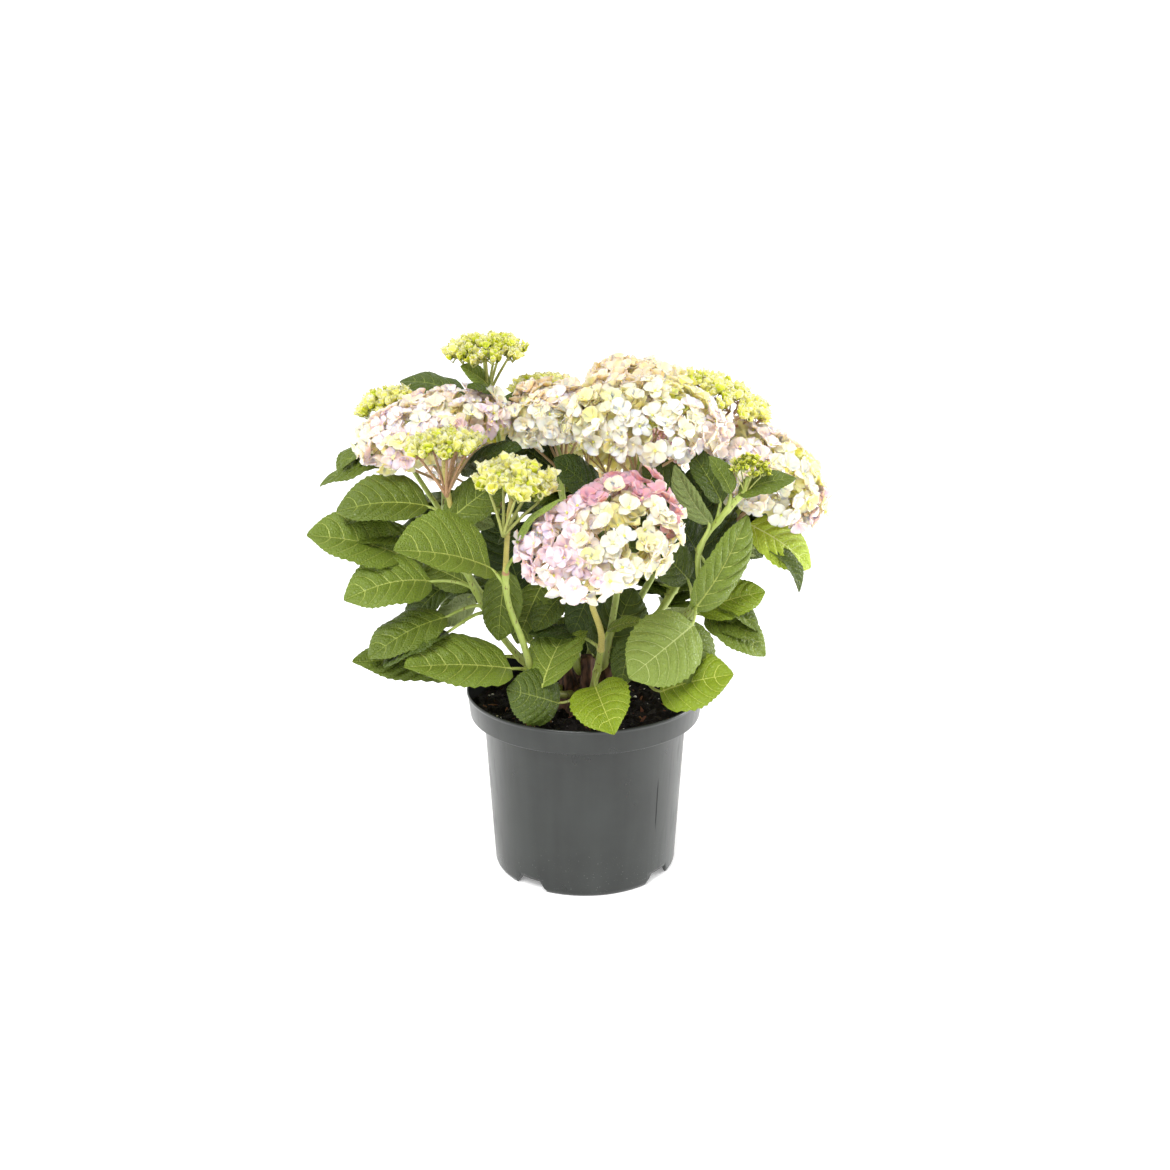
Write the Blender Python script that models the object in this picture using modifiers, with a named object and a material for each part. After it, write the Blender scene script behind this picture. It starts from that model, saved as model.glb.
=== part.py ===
"""A bigleaf hydrangea shrub in its plastic nursery pot.

Lengths are in metres: +Z is up, -Y is the front and +X the right. The origin is on the ground, at the
middle of the pot's flat underside.

The pot and the compost in it are turned. Green stems rise from a short woody base to the flower heads,
and masses of leaves lie between the stems. Each head and each mass is an uneven ball that is cut flat
where it meets a stem, a neighbour or the rim of the pot, so all of them are closed and none overlap.
"""

import math

import bmesh
import bpy
import numpy as np
from mathutils import Euler, Vector

# ---- driving dimensions ----

GAP = 0.0003  # clearance between pieces that touch
UP, DOWN = np.array([0.0, 0.0, 1.0]), np.array([0.0, 0.0, -1.0])

POT_HEIGHT = 0.177
POT_WALL = 0.0016
LIP_RADIUS = 0.1125
LIP_ROLL = 0.0016
BAND_FOOT_RADIUS = 0.1090
BAND_FOOT_Z = 0.1532
BODY_TOP_RADIUS = 0.0960
BODY_FOOT_RADIUS = 0.0870
FOOT_RADIUS = 0.0850
FOOT_CORNER = 0.0035
CHANNEL_TOP_Z = 0.0070
CHANNEL_INNER = 0.0600
CHANNEL_OUTER = 0.0815
SEAT_RADIUS = 0.0550
TURNED_STEPS = 32

NOTCH_COUNT = 4
NOTCH_FIRST_DEG = -126.5  # counted from +X, so -90 is the front
NOTCH_HEIGHT = 0.0105
NOTCH_FOOT_WIDTH = 0.0360
NOTCH_TOP_WIDTH = 0.0220
NOTCH_INNER = 0.0790
NOTCH_DEPTH = 0.0200

SOIL_TOP_Z = 0.1585

BASE_RADIUS = 0.0280
BASE_HEIGHT = 0.0450
BASE_SUNK = 0.0040

BALL_SEGMENTS = 12
BALL_RINGS = 8
LUMP_DEPTH = 0.20  # of the ball's own radius
LUMP_WAVES = 5
LUMP_WAVE_NUMBER = 3.2
PARALLEL = 1e-6  # a direction this square to a cut's own never meets it
BASE_SEED, HEADS_SEED, LEAVES_SEED = 7, 0, 100

COLOURS = {
    "pot_plastic": ((0.085, 0.090, 0.087), 0.38),
    "compost": ((0.022, 0.014, 0.010), 0.95),
    "old_wood": ((0.180, 0.110, 0.060), 0.85),
    "green_stem": ((0.300, 0.380, 0.110), 0.50),
    "leaf": ((0.070, 0.170, 0.030), 0.45),
    "bloom": ((0.900, 0.780, 0.640), 0.60),
    "buds": ((0.560, 0.640, 0.130), 0.55),
}

# Each flower head: its middle, the way that it faces, its radius, its half height and what covers it.
HEADS = {
    "head_buds_top": ((-0.093, 0.050, 0.492), (-0.05, -0.05, 1.0), 0.044, 0.014, "buds"),
    "head_bloom_left": ((-0.138, -0.002, 0.427), (-0.25, -0.20, 1.0), 0.071, 0.036, "bloom"),
    "head_buds_left": ((-0.122, -0.088, 0.436), (-0.05, -0.02, 1.0), 0.038, 0.020, "buds"),
    "head_buds_far_left": ((-0.190, 0.076, 0.436), (-0.35, 0.05, 1.0), 0.033, 0.017, "buds"),
    "head_buds_front": ((-0.057, -0.120, 0.412), (0.24, -0.08, 1.0), 0.041, 0.024, "buds"),
    "head_buds_middle": ((-0.041, 0.080, 0.451), (-0.05, 0.10, 1.0), 0.037, 0.015, "buds"),
    "head_bloom_middle": ((0.053, -0.026, 0.440), (0.10, -0.15, 1.0), 0.071, 0.037, "bloom"),
    "head_bloom_middle_left": ((-0.031, 0.004, 0.436), (-0.20, -0.20, 1.0), 0.043, 0.033, "bloom"),
    "head_bloom_middle_back": ((0.052, 0.090, 0.451), (0.05, 0.20, 1.0), 0.049, 0.024, "bloom"),
    "head_buds_right": ((0.134, 0.040, 0.450), (0.50, -0.05, 1.0), 0.051, 0.018, "buds"),
    "head_bloom_right": ((0.163, 0.002, 0.382), (0.55, -0.35, 1.0), 0.063, 0.043, "bloom"),
    "head_bloom_front": ((0.012, -0.138, 0.367), (-0.22, -0.65, 1.0), 0.072, 0.043, "bloom"),
    "head_buds_small": ((0.142, -0.080, 0.411), (0.10, -0.10, 1.0), 0.019, 0.012, "buds"),
    "head_bloom_back_left": ((-0.100, 0.135, 0.378), (-0.35, 0.55, 1.0), 0.062, 0.038, "bloom"),
    "head_bloom_back": ((0.040, 0.165, 0.370), (0.05, 0.65, 1.0), 0.068, 0.040, "bloom"),
    "head_buds_back_right": ((0.150, 0.115, 0.380), (0.45, 0.40, 1.0), 0.044, 0.022, "buds"),
}

# Each mass of leaves: its middle, its half sizes, its turn about X, Y and Z in degrees, the stem that
# carries it, and the leaf tips that it reaches out to.
LEAVES = {
    "leaves_left_top": (
        (-0.197, 0.048, 0.388),
        (0.050, 0.045, 0.024),
        (0, -12, 0),
        "stem_far_left",
        [(-0.248, 0.030, 0.364)],
    ),
    "leaves_left_upper": (
        (-0.190, -0.024, 0.349),
        (0.060, 0.044, 0.034),
        (12, 0, 0),
        "stem_left",
        [(-0.251, -0.030, 0.334), (-0.232, 0.004, 0.358)],
    ),
    "leaves_left_front": (
        (-0.120, -0.116, 0.347),
        (0.046, 0.028, 0.024),
        (25, 12, 0),
        "stem_left_front",
        [(-0.160, -0.130, 0.355)],
    ),
    "leaves_left_low": (
        (-0.180, -0.030, 0.287),
        (0.046, 0.041, 0.027),
        (10, -8, 0),
        "stem_left",
        [(-0.221, -0.030, 0.270)],
    ),
    "leaves_left_foot": (
        (-0.136, -0.080, 0.242),
        (0.066, 0.042, 0.024),
        (12, -4, 12),
        "stem_left_front",
        [(-0.209, -0.080, 0.233), (-0.157, -0.120, 0.250)],
    ),
    "leaves_left_back": (
        (-0.143, 0.098, 0.428),
        (0.041, 0.034, 0.018),
        (0, -15, 0),
        "stem_far_left",
        [(-0.175, 0.100, 0.450)],
    ),
    "leaves_front_left": (
        (-0.022, -0.052, 0.250),
        (0.032, 0.022, 0.030),
        (30, 0, 0),
        "stem_front",
        [],
    ),
    "leaves_front_foot": (
        (-0.040, -0.087, 0.203),
        (0.025, 0.014, 0.024),
        (20, 0, 0),
        "stem_front_left",
        [],
    ),
    "leaves_rim_front": (
        (0.024, -0.091, 0.195),
        (0.023, 0.036, 0.016),
        (25, 0, 0),
        "stem_front",
        [(0.031, -0.122, 0.172)],
    ),
    "leaves_right_front": (
        (0.076, -0.108, 0.259),
        (0.042, 0.019, 0.037),
        (30, 0, 0),
        "stem_right_front",
        [],
    ),
    "leaves_right_rim": (
        (0.094, -0.098, 0.213),
        (0.042, 0.030, 0.016),
        (5, 8, 0),
        "stem_right_front",
        [(0.131, -0.110, 0.222)],
    ),
    "leaves_right_middle": (
        (0.134, -0.052, 0.316),
        (0.031, 0.022, 0.050),
        (15, -12, 0),
        "stem_right_front",
        [(0.147, -0.060, 0.362)],
    ),
    "leaves_right_low": (
        (0.138, -0.028, 0.242),
        (0.036, 0.034, 0.022),
        (0, 25, 0),
        "stem_right",
        [(0.167, -0.030, 0.222)],
    ),
    "leaves_right_outer": (
        (0.180, 0.012, 0.303),
        (0.030, 0.036, 0.032),
        (0, 30, 0),
        "stem_right",
        [(0.209, 0.020, 0.290), (0.191, 0.000, 0.269)],
    ),
    "leaves_right_top": (
        (0.094, -0.072, 0.386),
        (0.022, 0.016, 0.038),
        (10, -15, 0),
        "stem_right_front",
        [(0.074, -0.074, 0.414)],
    ),
    "leaves_right_tip": (
        (0.161, -0.074, 0.396),
        (0.020, 0.016, 0.014),
        (0, 0, 0),
        "stem_right_front",
        [(0.181, -0.070, 0.405)],
    ),
    "leaves_middle_left": (
        (-0.046, -0.040, 0.345),
        (0.040, 0.036, 0.042),
        (0, 0, 0),
        "stem_middle_left",
        [],
    ),
    "leaves_middle": (
        (0.056, -0.040, 0.345),
        (0.044, 0.036, 0.042),
        (0, 0, 0),
        "stem_middle",
        [],
    ),
    "leaves_back_left": (
        (-0.128, 0.104, 0.310),
        (0.064, 0.054, 0.038),
        (-15, -10, 0),
        "stem_back_left",
        [(-0.196, 0.120, 0.285)],
    ),
    "leaves_back": (
        (-0.022, 0.140, 0.312),
        (0.058, 0.050, 0.036),
        (-20, 0, 0),
        "stem_back",
        [(-0.030, 0.210, 0.280)],
    ),
    "leaves_back_right": (
        (0.136, 0.100, 0.305),
        (0.058, 0.052, 0.036),
        (-15, 12, 0),
        "stem_far_right",
        [(0.196, 0.110, 0.280)],
    ),
    "leaves_back_foot_left": (
        (-0.085, 0.082, 0.228),
        (0.068, 0.050, 0.026),
        (-8, -6, 0),
        "stem_back_left",
        [(-0.155, 0.110, 0.222)],
    ),
    "leaves_back_foot_right": (
        (0.082, 0.096, 0.228),
        (0.064, 0.048, 0.026),
        (-8, 6, 0),
        "stem_far_right",
        [(0.140, 0.125, 0.222)],
    ),
}

# Each stem: the turn about Z and the lean from upright, in degrees, with which it leaves the woody base,
# the points that it bends through, and the head that it carries.
STEM_FOOT_RADIUS, STEM_TIP_RADIUS = 0.0042, 0.0026
STEM_START = 0.0060
STEM_SEAT = 0.8  # how far down a head's half height its stem meets it
STEM_NECK = 0.0120
STEM_SPAN_PIECES = 2
STEM_BEVEL_RESOLUTION = 2
LOW_LEAN, HIGH_LEAN, TOP_LEAN = 78, 50, 22
STEMS = {
    "stem_front_left": (
        (-125, LOW_LEAN),
        [(-0.042, -0.052, 0.196), (-0.056, -0.076, 0.250), (-0.069, -0.092, 0.302)],
        "head_buds_front",
    ),
    "stem_front": ((-80, LOW_LEAN), [(0.015, -0.060, 0.245), (0.006, -0.098, 0.296)], "head_bloom_front"),
    "stem_right_front": (
        (-38, LOW_LEAN),
        [(0.096, -0.064, 0.272), (0.102, -0.072, 0.337)],
        "head_buds_small",
    ),
    "stem_left_front": (
        (-168, LOW_LEAN),
        [(-0.075, -0.040, 0.240), (-0.108, -0.066, 0.320)],
        "head_buds_left",
    ),
    "stem_left": ((170, HIGH_LEAN), [(-0.082, 0.008, 0.245), (-0.126, 0.008, 0.325)], "head_bloom_left"),
    "stem_far_left": (
        (128, HIGH_LEAN),
        [(-0.090, 0.046, 0.270), (-0.160, 0.068, 0.365)],
        "head_buds_far_left",
    ),
    "stem_tall": ((165, TOP_LEAN), [(-0.060, 0.036, 0.315)], "head_buds_top"),
    "stem_middle_left": ((-110, HIGH_LEAN), [(-0.016, -0.012, 0.310)], "head_bloom_middle_left"),
    "stem_middle_back_left": ((50, TOP_LEAN), [(-0.014, 0.052, 0.310)], "head_buds_middle"),
    "stem_middle": ((-30, HIGH_LEAN), [(0.034, -0.006, 0.300)], "head_bloom_middle"),
    "stem_middle_back": ((78, HIGH_LEAN), [(0.036, 0.062, 0.310)], "head_bloom_middle_back"),
    "stem_right": ((3, LOW_LEAN), [(0.094, 0.004, 0.245)], "head_bloom_right"),
    "stem_right_back": ((28, HIGH_LEAN), [(0.082, 0.040, 0.310)], "head_buds_right"),
    "stem_back_left": ((125, LOW_LEAN), [(-0.062, 0.090, 0.265)], "head_bloom_back_left"),
    "stem_back": ((84, LOW_LEAN), [(0.026, 0.100, 0.265)], "head_bloom_back"),
    "stem_far_right": ((42, LOW_LEAN), [(0.096, 0.072, 0.265)], "head_buds_back_right"),
}


# ---- making ----


def clear_scene():
    for obj in list(bpy.data.objects):
        bpy.data.objects.remove(obj, do_unlink=True)


def new_collection(name, hidden=False):
    collection = bpy.data.collections.new(name)
    collection.hide_render = hidden
    bpy.context.scene.collection.children.link(collection)
    return collection


def material(name):
    """The one Principled material of this name, with its colour and roughness."""
    found = bpy.data.materials.get(name)
    if found:
        return found
    colour, roughness = COLOURS[name]
    made = bpy.data.materials.new(name)
    made.use_nodes = True
    surface = made.node_tree.nodes["Principled BSDF"]
    surface.inputs["Base Color"].default_value = (*colour, 1.0)
    surface.inputs["Roughness"].default_value = roughness
    surface.inputs["Metallic"].default_value = 0.0
    return made


def new_object(name, data, finish, collection):
    obj = bpy.data.objects.new(name, data)
    data.materials.append(material(finish))
    collection.objects.link(obj)
    return obj


def turned(name, profile, finish, collection):
    """A solid turned about Z. The profile of (radius, height) pairs runs down its outer side at +X."""
    mesh = bpy.data.meshes.new(name)
    points = [(radius, 0.0, height) for radius, height in profile]
    edges = [(i, (i + 1) % len(points)) for i in range(len(points))]
    if profile[0][0] == 0.0:
        edges.pop()
    mesh.from_pydata(points, edges, [])
    obj = new_object(name, mesh, finish, collection)
    screw = obj.modifiers.new("turn", "SCREW")
    screw.steps = screw.render_steps = TURNED_STEPS
    screw.use_merge_vertices = True
    screw.merge_threshold = 0.00005
    screw.use_smooth_shade = True
    return obj


def wall_radius(height):
    """The body's outer radius at this height: a straight taper from under the band to the foot."""
    share = (height - FOOT_CORNER) / (BAND_FOOT_Z - FOOT_CORNER)
    return BODY_FOOT_RADIUS + (BODY_TOP_RADIUS - BODY_FOOT_RADIUS) * share


def band_radius(height):
    """The band's outer radius at this height, from its foot to just under the lip."""
    share = (height - BAND_FOOT_Z) / (POT_HEIGHT - BAND_FOOT_Z)
    return BAND_FOOT_RADIUS + (LIP_RADIUS - LIP_ROLL / 2 - BAND_FOOT_RADIUS) * share


def floor_profile(lift):
    """The inner floor from the wall to the axis, lifted: over the channel, then down to the seat."""
    return [
        (CHANNEL_INNER - POT_WALL, CHANNEL_TOP_Z + POT_WALL + lift),
        (SEAT_RADIUS - POT_WALL, POT_WALL + lift),
        (0.0, POT_WALL + lift),
    ]


def build_pot(parts, cutters):
    """The pot: a thin wall with a deep band under a rolled lip, and a foot ring round a raised channel."""
    lip_z = POT_HEIGHT - LIP_ROLL
    outside = [
        (LIP_RADIUS - LIP_ROLL / 2, POT_HEIGHT),
        (LIP_RADIUS, lip_z),
        (band_radius(lip_z - LIP_ROLL), lip_z - LIP_ROLL),
        (BAND_FOOT_RADIUS, BAND_FOOT_Z),
        (wall_radius(BAND_FOOT_Z), BAND_FOOT_Z - 2 * POT_WALL),
        (BODY_FOOT_RADIUS, FOOT_CORNER),
        (FOOT_RADIUS, 0.0),
    ]
    underside = [
        (CHANNEL_OUTER + POT_WALL, 0.0),
        (CHANNEL_OUTER, CHANNEL_TOP_Z),
        (CHANNEL_INNER, CHANNEL_TOP_Z),
        (SEAT_RADIUS, 0.0),
        (0.0, 0.0),
    ]
    floor_z = CHANNEL_TOP_Z + POT_WALL
    inside = list(reversed(floor_profile(0.0))) + [
        (wall_radius(floor_z) - POT_WALL, floor_z),
        (wall_radius(BAND_FOOT_Z) - POT_WALL, BAND_FOOT_Z - POT_WALL),
        (BAND_FOOT_RADIUS - POT_WALL, BAND_FOOT_Z + POT_WALL),
        (band_radius(POT_HEIGHT) - POT_WALL, POT_HEIGHT),
    ]
    pot = turned("pot", outside + underside + inside, "pot_plastic", parts)
    for number in range(NOTCH_COUNT):
        angle = math.radians(NOTCH_FIRST_DEG + 360.0 * number / NOTCH_COUNT)
        notch = notch_cutter(f"notch_{number + 1}", angle, cutters)
        cut = pot.modifiers.new(notch.name, "BOOLEAN")
        cut.operation = "DIFFERENCE"
        cut.solver = "EXACT"
        cut.object = notch


def notch_cutter(name, angle, cutters):
    """A wedge across the foot ring: a block that is wider at the ground than at its top."""
    shape = bmesh.new()
    bmesh.ops.create_cube(shape, size=1.0)
    for corner in shape.verts:
        top = corner.co.z > 0
        width = NOTCH_TOP_WIDTH if top else NOTCH_FOOT_WIDTH
        height = NOTCH_HEIGHT if top else -NOTCH_HEIGHT / 2
        depth = NOTCH_INNER + NOTCH_DEPTH * (corner.co.x + 0.5)
        corner.co = (depth, corner.co.y * width, height)
    mesh = bpy.data.meshes.new(name)
    shape.to_mesh(mesh)
    shape.free()
    cutter = new_object(name, mesh, "pot_plastic", cutters)
    cutter.rotation_euler = (0.0, 0.0, angle)
    cutter.hide_render = True
    cutter.display_type = "WIRE"
    return cutter


def build_soil(parts):
    """The compost fills the pot to a little below the lip, a clearance away from its wall and floor."""
    floor_z = CHANNEL_TOP_Z + POT_WALL + GAP
    wall = POT_WALL + GAP
    profile = [
        (0.0, SOIL_TOP_Z),
        (band_radius(SOIL_TOP_Z) - wall, SOIL_TOP_Z),
        (BAND_FOOT_RADIUS - wall, BAND_FOOT_Z + POT_WALL + 2 * GAP),
        (wall_radius(BAND_FOOT_Z) - wall, BAND_FOOT_Z - POT_WALL + GAP),
        (wall_radius(floor_z) - wall, floor_z),
    ]
    turned("compost", profile + floor_profile(GAP), "compost", parts)


def smooth_path(points):
    """A smooth curve through all but the first and last of these points, each span cut into equal parts."""
    path = []
    for before, start, end, after in zip(points, points[1:], points[2:], points[3:]):
        for step in range(STEM_SPAN_PIECES):
            t = step / STEM_SPAN_PIECES
            slope = end - before
            bend = 2 * before - 5 * start + 4 * end - after
            twist = 3 * start - before - 3 * end + after
            path.append(start + 0.5 * t * (slope + t * (bend + t * twist)))
    return path + [points[-2]]


def upright_lean(turn_deg, lean_deg):
    """The unit vector that leans from upright by one angle, turned about Z by the other."""
    turn, lean = math.radians(turn_deg), math.radians(lean_deg)
    return np.array([math.sin(lean) * math.cos(turn), math.sin(lean) * math.sin(turn), math.cos(lean)])


def base_middle():
    return np.array([0.0, 0.0, SOIL_TOP_Z + BASE_SUNK])


def stem_route(leaves_base, bends, head):
    """The stem's points and radii, from the base's surface, square to it, to the underside of its head."""
    out = upright_lean(*leaves_base)
    squared = np.array([BASE_RADIUS, BASE_RADIUS, BASE_HEIGHT]) ** 2
    foot = base_middle() + squared * out / math.sqrt(np.dot(squared, out * out))
    middle, facing, _, half_height, _ = HEADS[head]
    down = -np.array(facing) / np.linalg.norm(facing)
    seat = np.array(middle) + down * half_height * STEM_SEAT
    bends = [np.array(bend) for bend in bends]
    start, neck = foot + out * STEM_START, seat + down * STEM_NECK
    path = [foot, *smooth_path([foot, start, *bends, neck, seat]), seat]
    return path, np.linspace(STEM_FOOT_RADIUS, STEM_TIP_RADIUS, len(path))


def build_stem(name, path, radii, parts):
    """A round stem along its points, thinner at each one, with flat ends."""
    curve = bpy.data.curves.new(name, "CURVE")
    curve.dimensions = "3D"
    curve.bevel_depth = 1.0
    curve.bevel_resolution = STEM_BEVEL_RESOLUTION
    curve.use_fill_caps = True
    spline = curve.splines.new("POLY")
    spline.points.add(len(path) - 1)
    for point, place, radius in zip(spline.points, path, radii):
        point.co = (*place, 1.0)
        point.radius = radius
    spline.use_smooth = True
    new_object(name, curve, "green_stem", parts)


def nearest_on(start, end, point):
    along = end - start
    share = np.clip(np.dot(point - start, along) / np.dot(along, along), 0.0, 1.0)
    return start + along * share


def cuts_at_stem(middle, reach, path, radii):
    """One flat cut for each stretch of stem within reach, square to the shortest line from the middle."""
    cuts = []
    for start, end, radius in zip(path, path[1:], radii):
        near = nearest_on(start, end, middle)
        distance = np.linalg.norm(near - middle)
        if distance - radius < reach:
            outward = (near - middle) / distance
            cuts.append((outward, distance - radius - GAP))
    return cuts


def cut_at_end(middle, path):
    """The flat cut across a stem's own end, on which a head sits."""
    outward = path[-2] - path[-1]
    outward /= np.linalg.norm(outward)
    return outward, float(np.dot(path[-1] - middle, outward)) - GAP


class Ball:
    """An uneven ball about a middle: an ellipsoid with lumps, drawn out to leaf tips, then cut flat."""

    def __init__(self, name, middle, half_sizes, turn, finish, tips, seed):
        self.name = name
        self.middle = np.array(middle)
        self.half_sizes = np.array(half_sizes)
        self.turn = np.array(turn)
        self.finish = finish
        self.tips = [np.array(tip) - self.middle for tip in tips]
        self.random = np.random.default_rng(seed)
        self.cuts = []

    def draw_to(self, path):
        """Draws the ball out to the nearest point of its stem, as the stalks of its leaves do."""
        nearest = min(
            (nearest_on(start, end, self.middle) for start, end in zip(path, path[1:])),
            key=lambda point: np.linalg.norm(point - self.middle),
        )
        self.tips.append(nearest - self.middle)

    def plain_radius(self, directions):
        """The bare ellipsoid's radius in each of these world directions."""
        local = directions @ self.turn
        return 1.0 / np.linalg.norm(local / self.half_sizes, axis=-1)

    def reach(self):
        longest = self.half_sizes.max() * (1 + LUMP_DEPTH / 2)
        return max([longest] + [np.linalg.norm(tip) for tip in self.tips])

    def radii(self, directions):
        """The radius in each direction: the ellipsoid times a sum of seeded waves."""
        waves = self.random.normal(0.0, LUMP_WAVE_NUMBER, (LUMP_WAVES, 3))
        phases = self.random.uniform(0.0, 2 * math.pi, LUMP_WAVES)
        lumps = np.sin(directions @ waves.T + phases).mean(axis=1)
        return self.plain_radius(directions) * (1 + LUMP_DEPTH * lumps)

    def build(self, parts):
        shape = bmesh.new()
        bmesh.ops.create_uvsphere(shape, u_segments=BALL_SEGMENTS, v_segments=BALL_RINGS, radius=1.0)
        directions = np.array([corner.co for corner in shape.verts]) @ self.turn.T
        radii = self.radii(directions)
        for tip in self.tips:
            length = np.linalg.norm(tip)
            nearest = np.argmax(directions @ tip)
            directions[nearest] = tip / length
            radii[nearest] = length
        for outward, distance in self.cuts:
            if distance < GAP:
                raise ValueError(f"{self.name}: a cut passes its middle by {distance:.4f} m")
            facing = directions @ outward
            meets = facing > PARALLEL
            radii[meets] = np.minimum(radii[meets], distance / facing[meets])
        for corner, direction, radius in zip(shape.verts, directions, radii):
            corner.co = direction * radius
        bmesh.ops.triangulate(shape, faces=shape.faces)
        mesh = bpy.data.meshes.new(self.name)
        shape.to_mesh(mesh)
        shape.free()
        mesh.shade_smooth()
        obj = new_object(self.name, mesh, self.finish, parts)
        obj.location = self.middle


def turn_to(facing):
    """The turn that takes +Z to this direction."""
    return Vector(UP).rotation_difference(Vector(facing)).to_matrix()


def head_balls():
    balls = {}
    for seed, (name, head) in enumerate(HEADS.items(), HEADS_SEED):
        middle, facing, radius, half_height, finish = head
        half_sizes = (radius, radius, half_height)
        balls[name] = Ball(name, middle, half_sizes, turn_to(facing), finish, [], seed)
    return balls


def leaf_balls():
    balls = {}
    for seed, (name, mass) in enumerate(LEAVES.items(), LEAVES_SEED):
        middle, half_sizes, turn_deg, _, tips = mass
        turn = Euler([math.radians(angle) for angle in turn_deg]).to_matrix()
        balls[name] = Ball(name, middle, half_sizes, turn, "leaf", tips, seed)
    return balls


def cut_apart(first, second):
    """Cuts two balls that could meet by one plane between them, nearer to the smaller one."""
    between = second.middle - first.middle
    distance = np.linalg.norm(between)
    if distance > first.reach() + second.reach():
        return
    outward = between / distance
    first_share = float(first.plain_radius(outward))
    second_share = float(second.plain_radius(-outward))
    plane = distance * first_share / (first_share + second_share)
    first.cuts.append((outward, plane - GAP / 2))
    second.cuts.append((-outward, distance - plane - GAP / 2))


def build_base(routes, parts):
    """The woody base: a lumpy stub, cut flat on the compost and where each stem leaves it."""
    half_sizes = np.array([BASE_RADIUS, BASE_RADIUS, BASE_HEIGHT]) * (1 + LUMP_DEPTH)
    base = Ball("woody_base", base_middle(), half_sizes, turn_to(UP), "old_wood", [], BASE_SEED)
    base.cuts.append((DOWN, BASE_SUNK - GAP))
    for path, _ in routes.values():
        base.cuts.append(cut_at_end(base.middle, path[::-1]))
    base.build(parts)


def main():
    clear_scene()
    parts = new_collection("hydrangea_in_pot")
    cutters = new_collection("cutters", hidden=True)
    build_pot(parts, cutters)
    build_soil(parts)

    routes = {name: stem_route(*stem) for name, stem in STEMS.items()}
    build_base(routes, parts)
    for name, (path, radii) in routes.items():
        build_stem(name, path, radii, parts)

    balls = {**head_balls(), **leaf_balls()}
    for name, (_, _, _, carrier, _) in LEAVES.items():
        balls[name].draw_to(routes[carrier][0])
    names = list(balls)
    for i, name in enumerate(names):
        ball = balls[name]
        ball.cuts.append((DOWN, ball.middle[2] - POT_HEIGHT - GAP))
        for stem_name, (path, radii) in routes.items():
            if STEMS[stem_name][2] == name:
                ball.cuts.append(cut_at_end(ball.middle, path))
            else:
                ball.cuts += cuts_at_stem(ball.middle, ball.reach(), path, radii)
        for other in names[i + 1 :]:
            cut_apart(ball, balls[other])
    for ball in balls.values():
        ball.build(parts)


main()
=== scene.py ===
"""A potted bigleaf hydrangea in flower, built over its CAD frame.

Lengths are in metres: +Z is up, -Y is the front and +X the right. The order is that of the plant as it is
put together: the pot, the compost, the old wood, the leaves, the stems and leaf stalks, the flower stalks,
the open flowers and the buds, then the floor, the lights and the camera.
"""

import math

import bpy
import numpy as np
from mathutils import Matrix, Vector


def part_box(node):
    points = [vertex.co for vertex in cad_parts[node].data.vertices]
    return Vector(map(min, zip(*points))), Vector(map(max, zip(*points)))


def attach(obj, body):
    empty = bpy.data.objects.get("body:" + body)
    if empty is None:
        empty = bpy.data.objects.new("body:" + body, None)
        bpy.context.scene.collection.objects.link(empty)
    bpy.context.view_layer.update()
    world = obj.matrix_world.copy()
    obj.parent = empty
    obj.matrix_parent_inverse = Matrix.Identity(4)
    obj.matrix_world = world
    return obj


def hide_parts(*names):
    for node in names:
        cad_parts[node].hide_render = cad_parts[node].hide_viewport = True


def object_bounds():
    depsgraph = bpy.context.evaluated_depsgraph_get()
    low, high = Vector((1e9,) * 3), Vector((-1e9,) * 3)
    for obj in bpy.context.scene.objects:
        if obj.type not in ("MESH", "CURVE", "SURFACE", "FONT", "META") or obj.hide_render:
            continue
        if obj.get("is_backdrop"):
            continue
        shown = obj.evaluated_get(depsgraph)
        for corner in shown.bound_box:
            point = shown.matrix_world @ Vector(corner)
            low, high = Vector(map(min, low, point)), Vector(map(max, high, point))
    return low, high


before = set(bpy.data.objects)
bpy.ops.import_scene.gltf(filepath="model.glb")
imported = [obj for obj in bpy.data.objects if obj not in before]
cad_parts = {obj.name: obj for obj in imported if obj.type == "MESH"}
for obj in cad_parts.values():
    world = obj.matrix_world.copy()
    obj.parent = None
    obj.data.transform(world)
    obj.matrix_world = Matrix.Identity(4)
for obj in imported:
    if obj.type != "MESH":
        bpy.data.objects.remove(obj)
cad_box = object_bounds()

# ---- pot ----
# A nursery pot, moulded in one piece from dark grey polypropylene. A thin tapered wall stands under a deep
# band with a rolled lip, and on a foot ring round a raised channel, notched four times to let water out.

POT_HEIGHT, POT_WALL = 0.177, 0.0016
LIP_RADIUS, LIP_ROLL = 0.1125, 0.0016
BAND_FOOT_RADIUS, BAND_FOOT_Z = 0.1090, 0.1532
BODY_TOP_RADIUS, BODY_FOOT_RADIUS, FOOT_RADIUS = 0.0960, 0.0870, 0.0850
FOOT_CORNER = 0.0035
CHANNEL_TOP_Z, CHANNEL_INNER, CHANNEL_OUTER, SEAT_RADIUS = 0.0070, 0.0600, 0.0815, 0.0550
NOTCHES_DEG = (-126.5, -36.5, 53.5, 143.5)
WELD_DEG = -43.5
NOTCH_HEIGHT, NOTCH_FOOT_WIDTH, NOTCH_TOP_WIDTH = 0.0105, 0.0360, 0.0220
ABOVE_NOTCH_Z = NOTCH_HEIGHT + 0.004
POT_STEPS = 180
# Each corner of the wall's outline is rounded with three points. The inner skin begins at one of its corners,
# and the part above the compost, whose near-black colour is painted shade, at another. The outline ends just
# off the axis.
POT_CORNER, CORNER_POINTS = 0.0012, 3
INNER_SKIN_CORNER, ABOVE_COMPOST_CORNER = 14, 18
AXIS_GAP = 0.0004
# The groove that the weld leaves: its half width, and the heights between which it fades in and out.
WELD_HALF_WIDTH, WELD_FADES = (0.0004, 0.0012), ((0.055, 0.068), (0.112, 0.100))


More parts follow.
